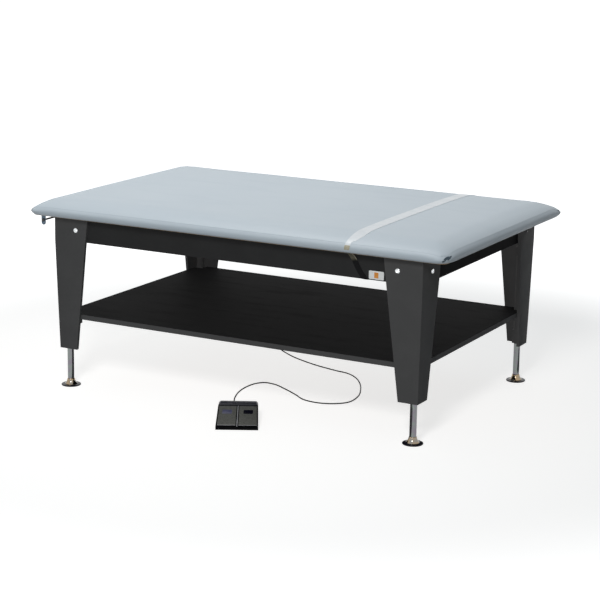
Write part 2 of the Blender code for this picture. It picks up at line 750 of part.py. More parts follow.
def make_hub(name, material, parent, place):
    top = HUB_BOTTOM + HUB_HEIGHT
    profile = (
        (STUD_BORE_RADIUS, top),
        (HUB_TOP_RADIUS, top),
        (HUB_TOP_RADIUS, top - HUB_RIM),
        (HUB_BOTTOM_RADIUS, HUB_BOTTOM + HUB_RIM),
        (HUB_BOTTOM_RADIUS, HUB_BOTTOM),
        (STUD_BORE_RADIUS, HUB_BOTTOM),
    )
    bm = bmesh.new()
    turn_profile(bm, profile, ROUND_STEPS)
    add_piece(name, bm, material, parent, place, rounded=True)


def make_glide(name, material, parent, place):
    stud_top = GLIDE_THICKNESS + STUD_LENGTH
    profile = (
        (0, stud_top),
        (STUD_RADIUS - GLIDE_EDGE, stud_top),
        (STUD_RADIUS, stud_top - GLIDE_EDGE),
        (STUD_RADIUS, GLIDE_THICKNESS),
        (GLIDE_RADIUS - GLIDE_EDGE, GLIDE_THICKNESS),
        (GLIDE_RADIUS, GLIDE_THICKNESS - GLIDE_EDGE),
        (GLIDE_RADIUS, GLIDE_EDGE),
        (GLIDE_RADIUS - GLIDE_EDGE, 0),
        (0, 0),
    )
    bm = bmesh.new()
    turn_profile(bm, profile, ROUND_STEPS)
    add_piece(name, bm, material, parent, place, rounded=True)


def make_control_box(material, parent):
    low_y, high_y = UNIT_Y - CONTROL_WIDTH / 2, UNIT_Y + CONTROL_WIDTH / 2
    right = UNIT_LEFT + CONTROL_LENGTH
    bm = bmesh.new()
    add_box(bm, (UNIT_LEFT, low_y, CONTROL_BOTTOM), (right, high_y, UNIT_TOP))
    lower = [edge for edge in bm.edges if all(v.co.z < UNIT_TOP - WELD for v in edge.verts)]
    bevel_edges(bm, lower, HOUSING_EDGE_RADIUS)
    box = add_piece("control_box", bm, material, parent)
    flange = bmesh.new()
    reach = CONTROL_FLANGE_REACH
    add_box(
        flange,
        (UNIT_LEFT + reach, low_y - reach, UNIT_TOP - CONTROL_FLANGE),
        (right - reach, high_y + reach, UNIT_TOP),
    )
    combine(box, flange, "UNION")
    inlet = bmesh.new()
    half_y, half_z = INLET_WIDTH / 2, INLET_HEIGHT / 2
    middle_z = CONTROL_BOTTOM + CONTROL_HEIGHT / 2
    add_box(
        inlet,
        (UNIT_LEFT - CUT_OVERRUN, UNIT_Y - half_y, middle_z - half_z),
        (UNIT_LEFT + INLET_DEPTH, UNIT_Y + half_y, middle_z + half_z),
    )
    combine(box, inlet, "DIFFERENCE")


def make_pump_motor(material, parent):
    centre_z = UNIT_TOP - FIT - MOTOR_RADIUS
    waist = MOTOR_RADIUS - MOTOR_SHOULDER
    profile = (
        (0, MOTOR_LENGTH),
        (waist, MOTOR_LENGTH),
        (MOTOR_RADIUS, MOTOR_LENGTH - MOTOR_SHOULDER),
        (MOTOR_RADIUS, 2 * MOTOR_SHOULDER),
        (MOTOR_RADIUS - MOTOR_SHOULDER / 2, MOTOR_SHOULDER),
        (waist, 0),
        (0, 0),
    )
    along_x = Matrix.Rotation(math.pi / 2, 4, "Y")
    aim = Matrix.Translation((MOTOR_LEFT, UNIT_Y, centre_z)) @ along_x
    bm = bmesh.new()
    turn_profile(bm, profile, ROUND_STEPS, aim)
    motor = add_piece("pump_motor", bm, material, parent, rounded=True)
    foot = bmesh.new()
    middle = MOTOR_LEFT + MOTOR_LENGTH / 2
    half_x, half_y = MOTOR_FOOT_LENGTH / 2, MOTOR_FOOT_WIDTH / 2
    add_box(
        foot,
        (middle - half_x, UNIT_Y - half_y, centre_z),
        (middle + half_x, UNIT_Y + half_y, UNIT_TOP),
    )
    combine(motor, foot, "UNION")


def make_pump_block(material, parent):
    low_y, high_y = UNIT_Y - BLOCK_WIDTH / 2, UNIT_Y + BLOCK_WIDTH / 2
    bm = bmesh.new()
    bottom = UNIT_TOP - BLOCK_HEIGHT
    add_box(bm, (BLOCK_LEFT, low_y, bottom), (BLOCK_LEFT + BLOCK_LENGTH, high_y, UNIT_TOP))
    lower = [edge for edge in bm.edges if all(v.co.z < UNIT_TOP - WELD for v in edge.verts)]
    bevel_edges(bm, lower, HOUSING_EDGE_RADIUS, 1)
    block = add_piece("pump_block", bm, material, parent)
    fittings = bmesh.new()
    for x in fitting_places():
        for face, outward in ((low_y, -1), (high_y, 1)):
            root = (x, face - outward * FITTING_LENGTH, HOSE_Z)
            tip = (x, face + outward * FITTING_LENGTH, HOSE_Z)
            add_rod(fittings, root, tip, FITTING_RADIUS)
    combine(block, fittings, "UNION")


def fitting_places():
    middle = BLOCK_LEFT + BLOCK_LENGTH / 2
    return (middle - FITTING_SPACING / 2, middle + FITTING_SPACING / 2)


def make_oil_tank(material, parent):
    half_x, half_y = TANK_LENGTH / 2, TANK_WIDTH / 2
    middle = TANK_LEFT + half_x
    radii = [TANK_CORNER_RADIUS] * 4
    outline = rounded_outline(half_x, -half_y, half_y, radii, CORNER_STEPS)
    heights = (UNIT_TOP - TANK_HEIGHT, UNIT_TOP)
    bm = bmesh.new()
    add_prism(bm, outline, lambda p, side: (p[0] + middle, p[1] + UNIT_Y, heights[side]))
    floor = [edge for edge in bm.edges if all(v.co.z < heights[0] + WELD for v in edge.verts)]
    bevel_edges(bm, floor, HOUSING_EDGE_RADIUS)
    tank = add_piece("oil_tank", bm, material, parent, rounded=True)
    cap = bmesh.new()
    end = TANK_LEFT + TANK_LENGTH
    middle_z = UNIT_TOP - TANK_HEIGHT / 2
    root = (end - TANK_CAP_HEIGHT, UNIT_Y, middle_z)
    tip = (end + TANK_CAP_HEIGHT, UNIT_Y, middle_z)
    add_rod(cap, root, tip, TANK_CAP_RADIUS)
    combine(tank, cap, "UNION")


def bezier(ends, share):
    rest = 1 - share
    weights = (rest**3, 3 * rest**2 * share, 3 * rest * share**2, share**3)
    return sum((weight * point for weight, point in zip(weights, ends)), Vector())


def add_tube(bm, points, ways, radius, steps):
    # Each section stands square to the tube's way there. The hoses lie level.
    rings = []
    for point, along in zip(points, ways):
        across = along.cross(Vector((0, 0, 1))).normalized()
        up = across.cross(along)
        ring = []
        for step in range(steps):
            angle = math.tau * (step + 0.5) / steps
            ring.append(point + radius * (math.cos(angle) * across + math.sin(angle) * up))
        rings.append(ring)
    loft(bm, rings)


def make_hose(name, material, parent, start, lead, end, tail):
    ends = (start, start + lead, end + tail, end)
    points = [bezier(ends, i / (HOSE_POINTS - 1)) for i in range(HOSE_POINTS)]
    middle = [(after - before).normalized() for before, after in zip(points, points[2:])]
    ways = [lead.normalized(), *middle, -tail.normalized()]
    bm = bmesh.new()
    add_tube(bm, points, ways, HOSE_RADIUS, 8)
    hose = add_piece(name, bm, material, parent, rounded=True)
    clips = bmesh.new()
    half = HOSE_CLIP / 2
    for share in HOSE_CLIP_SHARES:
        x, y, z = bezier(ends, share)
        low, high = (x - half, y - half, z - HOSE_RADIUS - FIT), (x + half, y + half, UNIT_TOP)
        add_box(clips, low, high)
    combine(hose, clips, "UNION")


def make_hoses(material, parent, ports):
    left, right = fitting_places()
    reach = BLOCK_WIDTH / 2 + FITTING_LENGTH + FIT
    for name, (side_x, side_y) in CORNERS.items():
        start = Vector((left if side_x < 0 else right, UNIT_Y + side_y * reach, HOSE_Z))
        end, outward = ports[name]
        straight = HOSE_TAIL if side_y < 0 else COLUMN_Y
        lead = (end.y - start.y) if side_y > 0 else -HOSE_LEAD
        make_hose(
            f"oil_hose_{name}",
            material,
            parent,
            start,
            Vector((0, lead, 0)),
            end,
            Vector(outward) * straight,
        )


def make_gland(material, parent):
    profile = (
        (0, 0),
        (GLAND_NUT_RADIUS, 0),
        (GLAND_NUT_RADIUS, -GLAND_NUT_HEIGHT),
        (GLAND_TIP_RADIUS, -GLAND_LENGTH + GLAND_NUT_HEIGHT / 3),
        (GLAND_TIP_RADIUS, -GLAND_LENGTH),
        (0, -GLAND_LENGTH),
    )
    bm = bmesh.new()
    turn_profile(bm, profile, SMALL_STEPS)
    place = (GLAND_X, GLAND_Y, CONTROL_BOTTOM - FIT)
    add_piece("control_box_gland", bm, material, parent, place, rounded=True)


def smooth_route(route, spacing_count):
    # A centripetal Catmull-Rom curve through the points, read at equal steps of its length.
    points = [Vector(point) for point in route]
    points = [2 * points[0] - points[1]] + points + [2 * points[-1] - points[-2]]
    fine = []
    for a, b, c, d in zip(points, points[1:], points[2:], points[3:]):
        t = [0]
        for near, far in ((a, b), (b, c), (c, d)):
            t.append(t[-1] + math.sqrt((far - near).length))
        for step in range(12):
            s = t[1] + (t[2] - t[1]) * step / 12
            ab = a.lerp(b, s / t[1])
            bc = b.lerp(c, (s - t[1]) / (t[2] - t[1]))
            cd = c.lerp(d, (s - t[2]) / (t[3] - t[2]))
            abc = ab.lerp(bc, s / t[2])
            bcd = bc.lerp(cd, (s - t[1]) / (t[3] - t[1]))
            fine.append(abc.lerp(bcd, (s - t[1]) / (t[2] - t[1])))
    fine.append(points[-2])
    lengths = [0]
    for near, far in zip(fine, fine[1:]):
        lengths.append(lengths[-1] + (far - near).length)
    read, index = [], 0
    for count in range(spacing_count):
        want = lengths[-1] * count / (spacing_count - 1)
        while index < len(fine) - 2 and lengths[index + 1] < want:
            index += 1
        span = lengths[index + 1] - lengths[index]
        point = fine[index].lerp(fine[index + 1], (want - lengths[index]) / span)
        point.z = max(point.z, CORD_FLOOR)
        read.append(point)
    return read


def make_cord(material, parent):
    end = switch_to_table(RELIEF_X, RELIEF_TIP + FIT, RELIEF_Z)
    points = smooth_route([*CORD_ROUTE, end], CORD_POINTS)
    curve = bpy.data.curves.new("pedal_cord", "CURVE")
    curve.dimensions = "3D"
    curve.bevel_depth = CORD_RADIUS
    curve.bevel_resolution = 2
    curve.use_fill_caps = True
    spline = curve.splines.new("POLY")
    spline.points.add(len(points) - 1)
    for point, place in zip(spline.points, points):
        point.co = (*place, 1)
    cord = bpy.data.objects.new("pedal_cord", curve)
    cord.parent = parent
    curve.materials.append(material)
    bpy.context.collection.objects.link(cord)


def make_roll_holder(bracket_material, bar_material, parent):
    top = DECK_BOTTOM - FIT
    bottom = top - ROLL_BRACKET_DROP
    half = ROLL_BRACKET_WIDTH / 2
    bar_z = top - ROLL_BAR_DROP
    for name, side in (("roll_bracket_front", -1), ("roll_bracket_rear", 1)):
        outline = rounded_outline(half, bottom, top, (0, 0, half, half), CORNER_STEPS)
        faces = (side * ROLL_Y, side * (ROLL_Y + ROLL_BRACKET_SHEET))
        bm = bmesh.new()
        add_prism(bm, outline, lambda p, end: (p[0] + ROLL_X, faces[end], p[1]))
        bracket = add_piece(name, bm, bracket_material, parent)
        flange, holes = bmesh.new(), bmesh.new()
        near, far = sorted((side * (ROLL_Y - ROLL_FLANGE_REACH), faces[1]))
        low = (ROLL_X - half, near, top - ROLL_BRACKET_SHEET)
        add_box(flange, low, (ROLL_X + half, far, top))
        combine(bracket, flange, "UNION")
        start = (ROLL_X, faces[0] - side * CUT_OVERRUN, bar_z)
        end = (ROLL_X, faces[1] + side * CUT_OVERRUN, bar_z)
        add_rod(holes, start, end, ROLL_HOLE_RADIUS)
        y = side * (ROLL_Y - ROLL_FLANGE_REACH / 2)
        start = (ROLL_X, y, top - ROLL_BRACKET_SHEET - CUT_OVERRUN)
        add_rod(holes, start, (ROLL_X, y, top + CUT_OVERRUN), SCREW_HOLE_RADIUS)
        combine(bracket, holes, "DIFFERENCE")
    reach = ROLL_Y + ROLL_BRACKET_SHEET + FIT
    end = reach + ROLL_HEAD_THICKNESS
    profile = (
        (0, -end),
        (ROLL_HEAD_RADIUS, -end),
        (ROLL_HEAD_RADIUS, -reach),
        (ROLL_BAR_RADIUS, -reach),
        (ROLL_BAR_RADIUS, reach),
        (ROLL_HEAD_RADIUS, reach),
        (ROLL_HEAD_RADIUS, end),
        (0, end),
    )
    bm = bmesh.new()
    turn_profile(bm, profile, SMALL_STEPS, Matrix.Rotation(math.pi / 2, 4, "X"))
    add_piece("roll_bar", bm, bar_material, parent, (ROLL_X, 0, bar_z), rounded=True)


def add_ribbon(bm, path, clearance):
    # A flat band whose width lies along X, on the outer side of a path of (x, y, z) points.
    rings = []
    for i, point in enumerate(path):
        along = Vector(path[min(i + 1, len(path) - 1)]) - Vector(path[max(i - 1, 0)])
        outward = Vector((0, -along.z, along.y)).normalized()
        low = Vector(point) + outward * clearance
        high = low + outward * STRAP_THICKNESS
        half = Vector((STRAP_WIDTH / 2, 0, 0))
        rings.append([low - half, low + half, high + half, high - half])
    loft(bm, rings)


def pad_path(pad):
    # The pad's outline where it is cut at the band, from the front skirt over the crown to the rear.
    section = pad.copy()
    geometry = section.verts[:] + section.edges[:] + section.faces[:]
    found = bmesh.ops.bisect_plane(
        section, geom=geometry, dist=0, plane_co=(STRAP_X, 0, 0), plane_no=(1, 0, 0)
    )
    wall = PAD_WIDTH / 2 - PAD_SKIRT_WALL + WELD
    points = [v.co.copy() for v in found["geom_cut"] if isinstance(v, bmesh.types.BMVert)]
    section.free()
    low = SKIRT_BOTTOM + PAD_LOWER_ROLL - WELD
    roof = DECK_TOP + 2 * FIT
    outer = [p for p in points if p.z > low and (abs(p.y) > wall or p.z > roof)]
    return sorted(outer, key=lambda point: math.atan2(point.z - low, -point.y))


def make_straps(band_material, elastic_material, parent, path):
    bm = bmesh.new()
    add_ribbon(bm, path, STRAP_CLEARANCE)
    add_piece("paper_strap", bm, band_material, parent, rounded=True)
    inner = RAIL_Y - RAIL_THICKNESS - FIT
    outer = RAIL_Y + FIT
    under = RAIL_BOTTOM - FIT
    top_z = path[0].z - FIT
    top_y = -path[0].y + STRAP_CLEARANCE
    route = (
        (STRAP_X, top_y, top_z),
        (TAIL_BOTTOM_X, outer, RAIL_BOTTOM + STRAP_THICKNESS),
        (TAIL_BOTTOM_X, outer, under),
        (TAIL_BOTTOM_X, inner, under),
        (TAIL_BOTTOM_X, inner, RAIL_BOTTOM + TAIL_INSIDE_RISE),
    )
    for name, side in (("strap_tail_front", -1), ("strap_tail_rear", 1)):
        # Walked so that the band's outer side is away from the rail on both sides.
        points = [(x, side * y, z) for x, y, z in route]
        bm = bmesh.new()
        add_ribbon(bm, points[::-1] if side < 0 else points, 0)
        add_piece(name, bm, elastic_material, parent)


def make_label(material, parent):
    low_z = RAIL_BOTTOM + LABEL_RISE
    radii = [LABEL_CORNER_RADIUS] * 4
    outline = rounded_outline(LABEL_WIDTH / 2, low_z, low_z + LABEL_HEIGHT, radii, 2)
    faces = (-RAIL_Y - FIT, -RAIL_Y - FIT - LABEL_THICKNESS)
    bm = bmesh.new()
    add_prism(bm, outline, lambda p, side: (p[0] + LABEL_X, faces[side], p[1]))
    add_piece("label_plate", bm, material, parent)


# The foot switch


def half_switch(y):
    return (SWITCH_WIDTH + (SWITCH_REAR_WIDTH - SWITCH_WIDTH) * y / SWITCH_DEPTH) / 2


def taper(bm, y_origin=0):
    # The housing narrows towards the rear.
    for vert in bm.verts:
        vert.co.x *= half_switch(vert.co.y + y_origin) / HALF_SWITCH


def pedal_top(y):
    return PEDAL_FRONT_HEIGHT + (y - PEDAL_FRONT) * PEDAL_SLOPE


def switch_prism(outline, left, right, place=(0, 0)):
    # A side outline of (y, z) points drawn out from left to right, about a place in y and z.
    bm = bmesh.new()
    sides = (left, right)
    add_prism(bm, outline, lambda p, s: (sides[s], p[0] - place[0], p[1] - place[1]))
    return bm


def make_pedal_base(material, parent):
    wall_top = pedal_top(COVER_FRONT) - WALL_DROP
    outline = (
        (0, 0),
        (SWITCH_DEPTH, 0),
        (SWITCH_DEPTH, BASE_REAR_HEIGHT),
        (COVER_FRONT, BASE_REAR_HEIGHT),
        (COVER_FRONT, wall_top),
        (0, pedal_top(0) - WALL_DROP),
    )
    bm = switch_prism(outline, -HALF_SWITCH, HALF_SWITCH)
    taper(bm)
    base = add_piece("pedal_base", bm, material, parent)
    well = (
        (-CUT_OVERRUN, BASE_FRONT_HEIGHT),
        (BASE_WALL, BASE_FRONT_HEIGHT),
        (BASE_WALL, BASE_FLOOR),
        (SWITCH_DEPTH - BASE_WALL, BASE_FLOOR),
        (SWITCH_DEPTH - BASE_WALL, COVER_HEIGHT),
        (-CUT_OVERRUN, COVER_HEIGHT),
    )
    wells = bmesh.new()
    for side in (-1, 1):
        edges = sorted((side * RIDGE_WIDTH / 2, side * (HALF_SWITCH - BASE_WALL)))
        add_prism(wells, well, lambda p, s: (edges[s], *p))
    taper(wells)
    combine(base, wells, "DIFFERENCE")
    ears = bmesh.new()
    low, high = PIN_Y - EAR_HALF_DEPTH, PIN_Y + EAR_HALF_DEPTH
    top = PIN_Z + EAR_OVER_PIN
    outer = HALF_SWITCH - COVER_WALL - FIT
    spans = (
        (-outer, -outer + EAR_THICKNESS),
        (-RIDGE_WIDTH / 2, RIDGE_WIDTH / 2),
        (outer - EAR_THICKNESS, outer),
    )
    for left, right in spans:
        add_box(ears, (left, low, BASE_FLOOR / 2), (right, high, top))
    taper(ears)
    combine(base, ears, "UNION")
    hole = bmesh.new()
    add_rod(hole, (-HALF_SWITCH, PIN_Y, PIN_Z), (HALF_SWITCH, PIN_Y, PIN_Z), PIN_HOLE_RADIUS)
    combine(base, hole, "DIFFERENCE")


def make_pedal(name, material, parent, side):
    # Built about its hinge pin, which is where the object's origin is.
    rear = COVER_FRONT - FIT * 3
    lip = PEDAL_SHEET * 3 / 4
    plate = (
        (PEDAL_FRONT, PEDAL_LIP_BOTTOM),
        (PEDAL_FRONT, pedal_top(PEDAL_FRONT) - PEDAL_SHEET / 4),
        (PEDAL_FRONT + PEDAL_SHEET / 4, pedal_top(PEDAL_FRONT)),
        (rear, pedal_top(rear)),
        (rear, pedal_top(rear) - PEDAL_SHEET),
        (PEDAL_FRONT + lip, pedal_top(PEDAL_FRONT + lip) - PEDAL_SHEET),
        (PEDAL_FRONT + lip, PEDAL_LIP_BOTTOM),
    )
    near = RIDGE_WIDTH / 2 + PEDAL_SIDE_GAP
    far = HALF_SWITCH - BASE_WALL - PEDAL_SIDE_GAP
    place = (PIN_Y, PIN_Z)
    bm = switch_prism(plate, *sorted((side * near, side * far)), place)
    taper(bm, PIN_Y)
    pedal = add_piece(name, bm, material, parent, (0, *place))
    start = rear - ARM_REACH
    arm = (
        (start, pedal_top(start) - PEDAL_SHEET / 2),
        (rear - FIT, pedal_top(rear) - PEDAL_SHEET / 2),
        (PIN_Y - ARM_EYE / 2, PIN_Z + ARM_EYE),
        (PIN_Y + ARM_EYE, PIN_Z + ARM_EYE / 2),
        (PIN_Y + ARM_EYE, PIN_Z - ARM_EYE / 2),
        (PIN_Y - ARM_EYE / 2, PIN_Z - ARM_EYE),
        (start, pedal_top(start) - 2 * PEDAL_SHEET),
    )
    arms = bmesh.new()
    for edge in (near + ARM_WIDTH / 2, far - 2 * ARM_WIDTH):
        sides = sorted((side * edge, side * (edge + ARM_WIDTH)))
        add_prism(arms, arm, lambda p, s: (sides[s], p[0] - PIN_Y, p[1] - PIN_Z))
    taper(arms, PIN_Y)
    combine(pedal, arms, "UNION", (0, *place))
    hole = bmesh.new()
    add_rod(hole, (-HALF_SWITCH, 0, 0), (HALF_SWITCH, 0, 0), PIN_HOLE_RADIUS)
    combine(pedal, hole, "DIFFERENCE", (0, *place))


def make_rear_cover(material, parent):
    bottom = BASE_REAR_HEIGHT + FIT
    front = COVER_FRONT + FIT
    radius = COVER_CORNER_RADIUS
    outline = rounded_outline(HALF_SWITCH, bottom, COVER_HEIGHT, (radius, radius, 0, 0), 4)
    bm = bmesh.new()
    ends = (front, SWITCH_DEPTH)
    add_prism(bm, outline, lambda p, s: (p[0], ends[s], p[1]))
    taper(bm)
    cover = add_piece("pedal_rear_cover", bm, material, parent)
    inside = radius - COVER_WALL
    cavity = rounded_outline(
        HALF_SWITCH - COVER_WALL,
        bottom - CUT_OVERRUN,
        COVER_HEIGHT - COVER_WALL,
        (inside, inside, 0, 0),
        4,
    )
    hollow = bmesh.new()
    depths = (front + COVER_WALL, SWITCH_DEPTH - COVER_WALL)
    add_prism(hollow, cavity, lambda p, s: (p[0], depths[s], p[1]))
    taper(hollow)
    combine(cover, hollow, "DIFFERENCE")
    mouth = bmesh.new()
    reach = HALF_SWITCH - COVER_WALL
    add_box(
        mouth,
        (-reach, front - CUT_OVERRUN, bottom - CUT_OVERRUN),
        (reach, front + COVER_WALL + FIT, COVER_HEIGHT - COVER_BROW),
    )
    taper(mouth)
    combine(cover, mouth, "DIFFERENCE")


def make_pedal_pin(material, parent):
    reach = half_switch(PIN_Y) - COVER_WALL - 2 * FIT
    bm = bmesh.new()
    add_rod(bm, (-reach, 0, 0), (reach, 0, 0), PIN_RADIUS)
    add_piece("pedal_pin", bm, material, parent, (0, PIN_Y, PIN_Z), rounded=True)


def make_microswitch(name, material, parent, side):
    x = side * (HALF_SWITCH - BASE_WALL) / 2
    bottom = BASE_FLOOR + FIT
    half_x, half_y = MICROSWITCH_WIDTH / 2, MICROSWITCH_DEPTH / 2
    body_top = bottom + MICROSWITCH_HEIGHT
    bm = bmesh.new()
    low = (x - half_x, MICROSWITCH_Y - half_y, bottom)
    add_box(bm, low, (x + half_x, MICROSWITCH_Y + half_y, body_top))
    switch = add_piece(name, bm, material, parent)
    plunger = bmesh.new()
    top = pedal_top(MICROSWITCH_Y) - PEDAL_SHEET - PLUNGER_CLEARANCE
    start = (x, MICROSWITCH_Y, body_top - PLUNGER_RADIUS)
    add_rod(plunger, start, (x, MICROSWITCH_Y, top), PLUNGER_RADIUS, 8)
    combine(switch, plunger, "UNION")


def make_cord_relief(material, parent):
    profile = (
        (0, 0),
        (RELIEF_COLLAR_RADIUS, 0),
        (RELIEF_COLLAR_RADIUS, RELIEF_COLLAR),
        (RELIEF_ROOT_RADIUS, RELIEF_COLLAR),
        (RELIEF_TIP_RADIUS, RELIEF_LENGTH),
        (0, RELIEF_LENGTH),
    )
    aim = Matrix.Rotation(-math.pi / 2, 4, "X")
    bm = bmesh.new()
    turn_profile(bm, profile, SMALL_STEPS, aim)
    place = (RELIEF_X, SWITCH_DEPTH + FIT, RELIEF_Z)
    add_piece("pedal_cord_relief", bm, material, parent, place, rounded=True)


def make_foot_switch(look, parent):
    switch = add_empty("foot_switch", parent, (SWITCH_X, SWITCH_Y, 0), SWITCH_TURN)
    make_pedal_base(look["black_plastic"], switch)
    make_rear_cover(look["black_plastic"], switch)
    make_pedal("pedal_left", look["pedal_plastic"], switch, -1)
    make_pedal("pedal_right", look["pedal_plastic"], switch, 1)
    make_pedal_pin(look["chrome"], switch)
    make_microswitch("microswitch_left", look["black_plastic"], switch, -1)
    make_microswitch("microswitch_right", look["black_plastic"], switch, 1)
    make_cord_relief(look["hose_rubber"], switch)


def make_frame(look, frame):
    for name, (side_x, side_y) in CORNERS.items():
        make_leg(f"leg_{name}", look["laminate"], frame, side_x, side_y)
        x = side_x * (HALF_LENGTH - BOLT_INSET_LONG)
        place = (x, side_y * (HALF_WIDTH + FIT), FRAME_TOP - BOLT_DROP_LONG)
        make_leg_bolt(f"leg_bolt_{name}_long", look["chrome"], frame, place, (0, side_y, 0))
        y = side_y * (HALF_WIDTH - BOLT_INSET_END)
        place = (side_x * (HALF_LENGTH + FIT), y, FRAME_TOP - BOLT_DROP_END)
        make_leg_bolt(f"leg_bolt_{name}_end", look["chrome"], frame, place, (side_x, 0, 0))
    make_long_rail("rail_front", look["laminate"], frame, -1)
    make_long_rail("rail_rear", look["laminate"], frame, 1)
    make_end_rail("rail_left", look["laminate"], frame, -1)
    make_end_rail("rail_right", look["laminate"], frame, 1)
    make_shelf(look["laminate"], frame)
    make_deck(look["deck_ply"], frame)
    pad_outline = make_cushion(look["vinyl"], frame)
    make_straps(look["band"], look["elastic"], frame, pad_outline)
    make_label(look["label"], frame)
    make_roll_holder(look["bracket_steel"], look["black_steel"], frame)


def make_lift(look, plinth, frame):
    # The rods and feet stand on the floor. Each column rises and sinks over its rod.
    ports = {}
    for name, (side_x, side_y) in CORNERS.items():
        port = (0, 1, 0) if side_y < 0 else (-side_x, 0, 0)
        steel = look["black_steel"]
        end = make_column(f"lift_cylinder_{name}", steel, frame, side_x, side_y, port)
        ports[name] = (end, port)
        place = (side_x * COLUMN_X, side_y * COLUMN_Y, 0)
        make_rod(f"lift_rod_{name}", look["chrome"], plinth, place)
        make_hub(f"foot_hub_{name}", look["chrome"], plinth, place)
        make_glide(f"foot_glide_{name}", look["black_plastic"], plinth, place)
    make_control_box(look["black_plastic"], frame)
    make_pump_motor(look["black_steel"], frame)
    make_pump_block(look["cast_alloy"], frame)
    make_oil_tank(look["black_plastic"], frame)
    make_hoses(look["hose_rubber"], frame, ports)
    make_gland(look["black_plastic"], frame)


def build():
    clear_scene()
    look = {name: make_material(name) for name in COLOURS}
    plinth = add_empty("plinth", None, (0, table_shift(), 0))
    frame = add_empty("lifting_frame", plinth, (0, 0, 0))
    make_frame(look, frame)
    make_lift(look, plinth, frame)
    make_foot_switch(look, plinth)
    make_cord(look["hose_rubber"], plinth)


build()
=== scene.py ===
# Powered treatment plinth: camera, floor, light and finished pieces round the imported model.
# Metres, +Z up. The foot end is at +X and the front at -Y.
import json
import math

import bmesh
import bpy
from mathutils import Matrix, Vector, noise
from mathutils.bvhtree import BVHTree


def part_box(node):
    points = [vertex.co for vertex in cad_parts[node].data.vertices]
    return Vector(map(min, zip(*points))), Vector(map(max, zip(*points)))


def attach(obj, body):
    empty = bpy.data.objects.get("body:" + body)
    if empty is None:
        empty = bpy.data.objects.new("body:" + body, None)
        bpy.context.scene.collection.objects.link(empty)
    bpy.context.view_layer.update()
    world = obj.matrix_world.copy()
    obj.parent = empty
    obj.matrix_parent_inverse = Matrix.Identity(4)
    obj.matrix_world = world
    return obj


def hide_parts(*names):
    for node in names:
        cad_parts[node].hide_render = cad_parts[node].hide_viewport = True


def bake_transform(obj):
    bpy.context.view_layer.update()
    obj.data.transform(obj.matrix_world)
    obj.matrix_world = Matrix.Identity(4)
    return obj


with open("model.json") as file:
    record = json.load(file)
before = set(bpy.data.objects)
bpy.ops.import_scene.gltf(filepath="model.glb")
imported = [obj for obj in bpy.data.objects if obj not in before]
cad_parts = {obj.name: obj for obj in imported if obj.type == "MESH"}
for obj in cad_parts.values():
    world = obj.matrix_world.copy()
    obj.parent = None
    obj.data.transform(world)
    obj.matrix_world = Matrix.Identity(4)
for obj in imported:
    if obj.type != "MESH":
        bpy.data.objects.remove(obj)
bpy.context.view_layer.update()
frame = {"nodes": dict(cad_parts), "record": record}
cadNodes = frame["nodes"]
bodyOf = {n: body for body, names in frame["record"]["behaviour"]["bodies"].items() for n in names}
scene = bpy.context.scene
corners = {"front_left": (-1, -1), "front_right": (1, -1), "rear_right": (1, 1), "rear_left": (-1, 1)}
shelfLow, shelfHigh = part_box("shelf")
tableShift = Vector((0, (shelfLow.y + shelfHigh.y) / 2, 0))  # from the model's origin to the table's own middle
switchSpot, switchTurn = (0.1328, -0.7275, 0), 28.404  # the foot switch's place from there, and its turn in degrees
switchPlace = Matrix.Translation(tableShift + Vector(switchSpot)) @ Matrix.Rotation(math.radians(switchTurn), 4, "Z")

eased = (("interpolation_type", "SMOOTHSTEP"),)
colours = (("data_type", "RGBA"),)
times = (("operation", "MULTIPLY"),)


def setInputs(tree, node, slots=(), **inputs):
    # A socket is linked in, and anything else is set on the input itself.
    for label, value in (*slots, *((label.replace("_", " "), value) for label, value in inputs.items())):
        if isinstance(value, bpy.types.NodeSocket):
            tree.links.new(value, node.inputs[label])
        else:
            node.inputs[label].default_value = value


def addNode(tree, kind, settings=(), slots=(), **inputs):
    node = tree.nodes.new("ShaderNode" + kind)
    for key, value in settings:
        setattr(node, key, value)
    setInputs(tree, node, slots, **inputs)
    return node


def newMaterial(name, **constants):
    material = bpy.data.materials.new(name)
    material.use_nodes = True
    tree = material.node_tree
    shader = tree.nodes["Principled BSDF"]
    setInputs(tree, shader, **constants)
    return material, tree, shader


def meshObject(name, bm, materials):
    mesh = bpy.data.meshes.new(name)
    bm.to_mesh(mesh)
    bm.free()
    for material in materials:
        mesh.materials.append(material)
    piece = bpy.data.objects.new(name, mesh)
    scene.collection.objects.link(piece)
    return piece


# ---- camera, room and light

cameraLook = {
    "place": (3.671, -6.7541, 2.181),  # measured from the table's middle
    "yaw": 0.4960,
    "pitch": 0.2317,
    "roll": 0.0137,
    "lens": 110.507,
}


def makeCamera():
    look = cameraLook
    yaw, pitch, roll = look["yaw"], look["pitch"], look["roll"]
    ahead = Vector((-math.sin(yaw) * math.cos(pitch), math.cos(yaw) * math.cos(pitch), -math.sin(pitch)))
    level = Vector((math.cos(yaw), math.sin(yaw), 0))
    over = level.cross(ahead)
    right = math.cos(roll) * level + math.sin(roll) * over
    up = -math.sin(roll) * level + math.cos(roll) * over
    data = bpy.data.cameras.new("camera")
    data.lens, data.sensor_width = look["lens"], 36
    data.clip_start, data.clip_end = 0.1, 100
    camera = bpy.data.objects.new("camera", data)
    scene.collection.objects.link(camera)
    turn = Matrix((right, up, -ahead)).transposed().to_4x4()
    camera.matrix_world = Matrix.Translation(Vector(look["place"]) + tableShift) @ turn
    scene.camera = camera
    print("camera set")


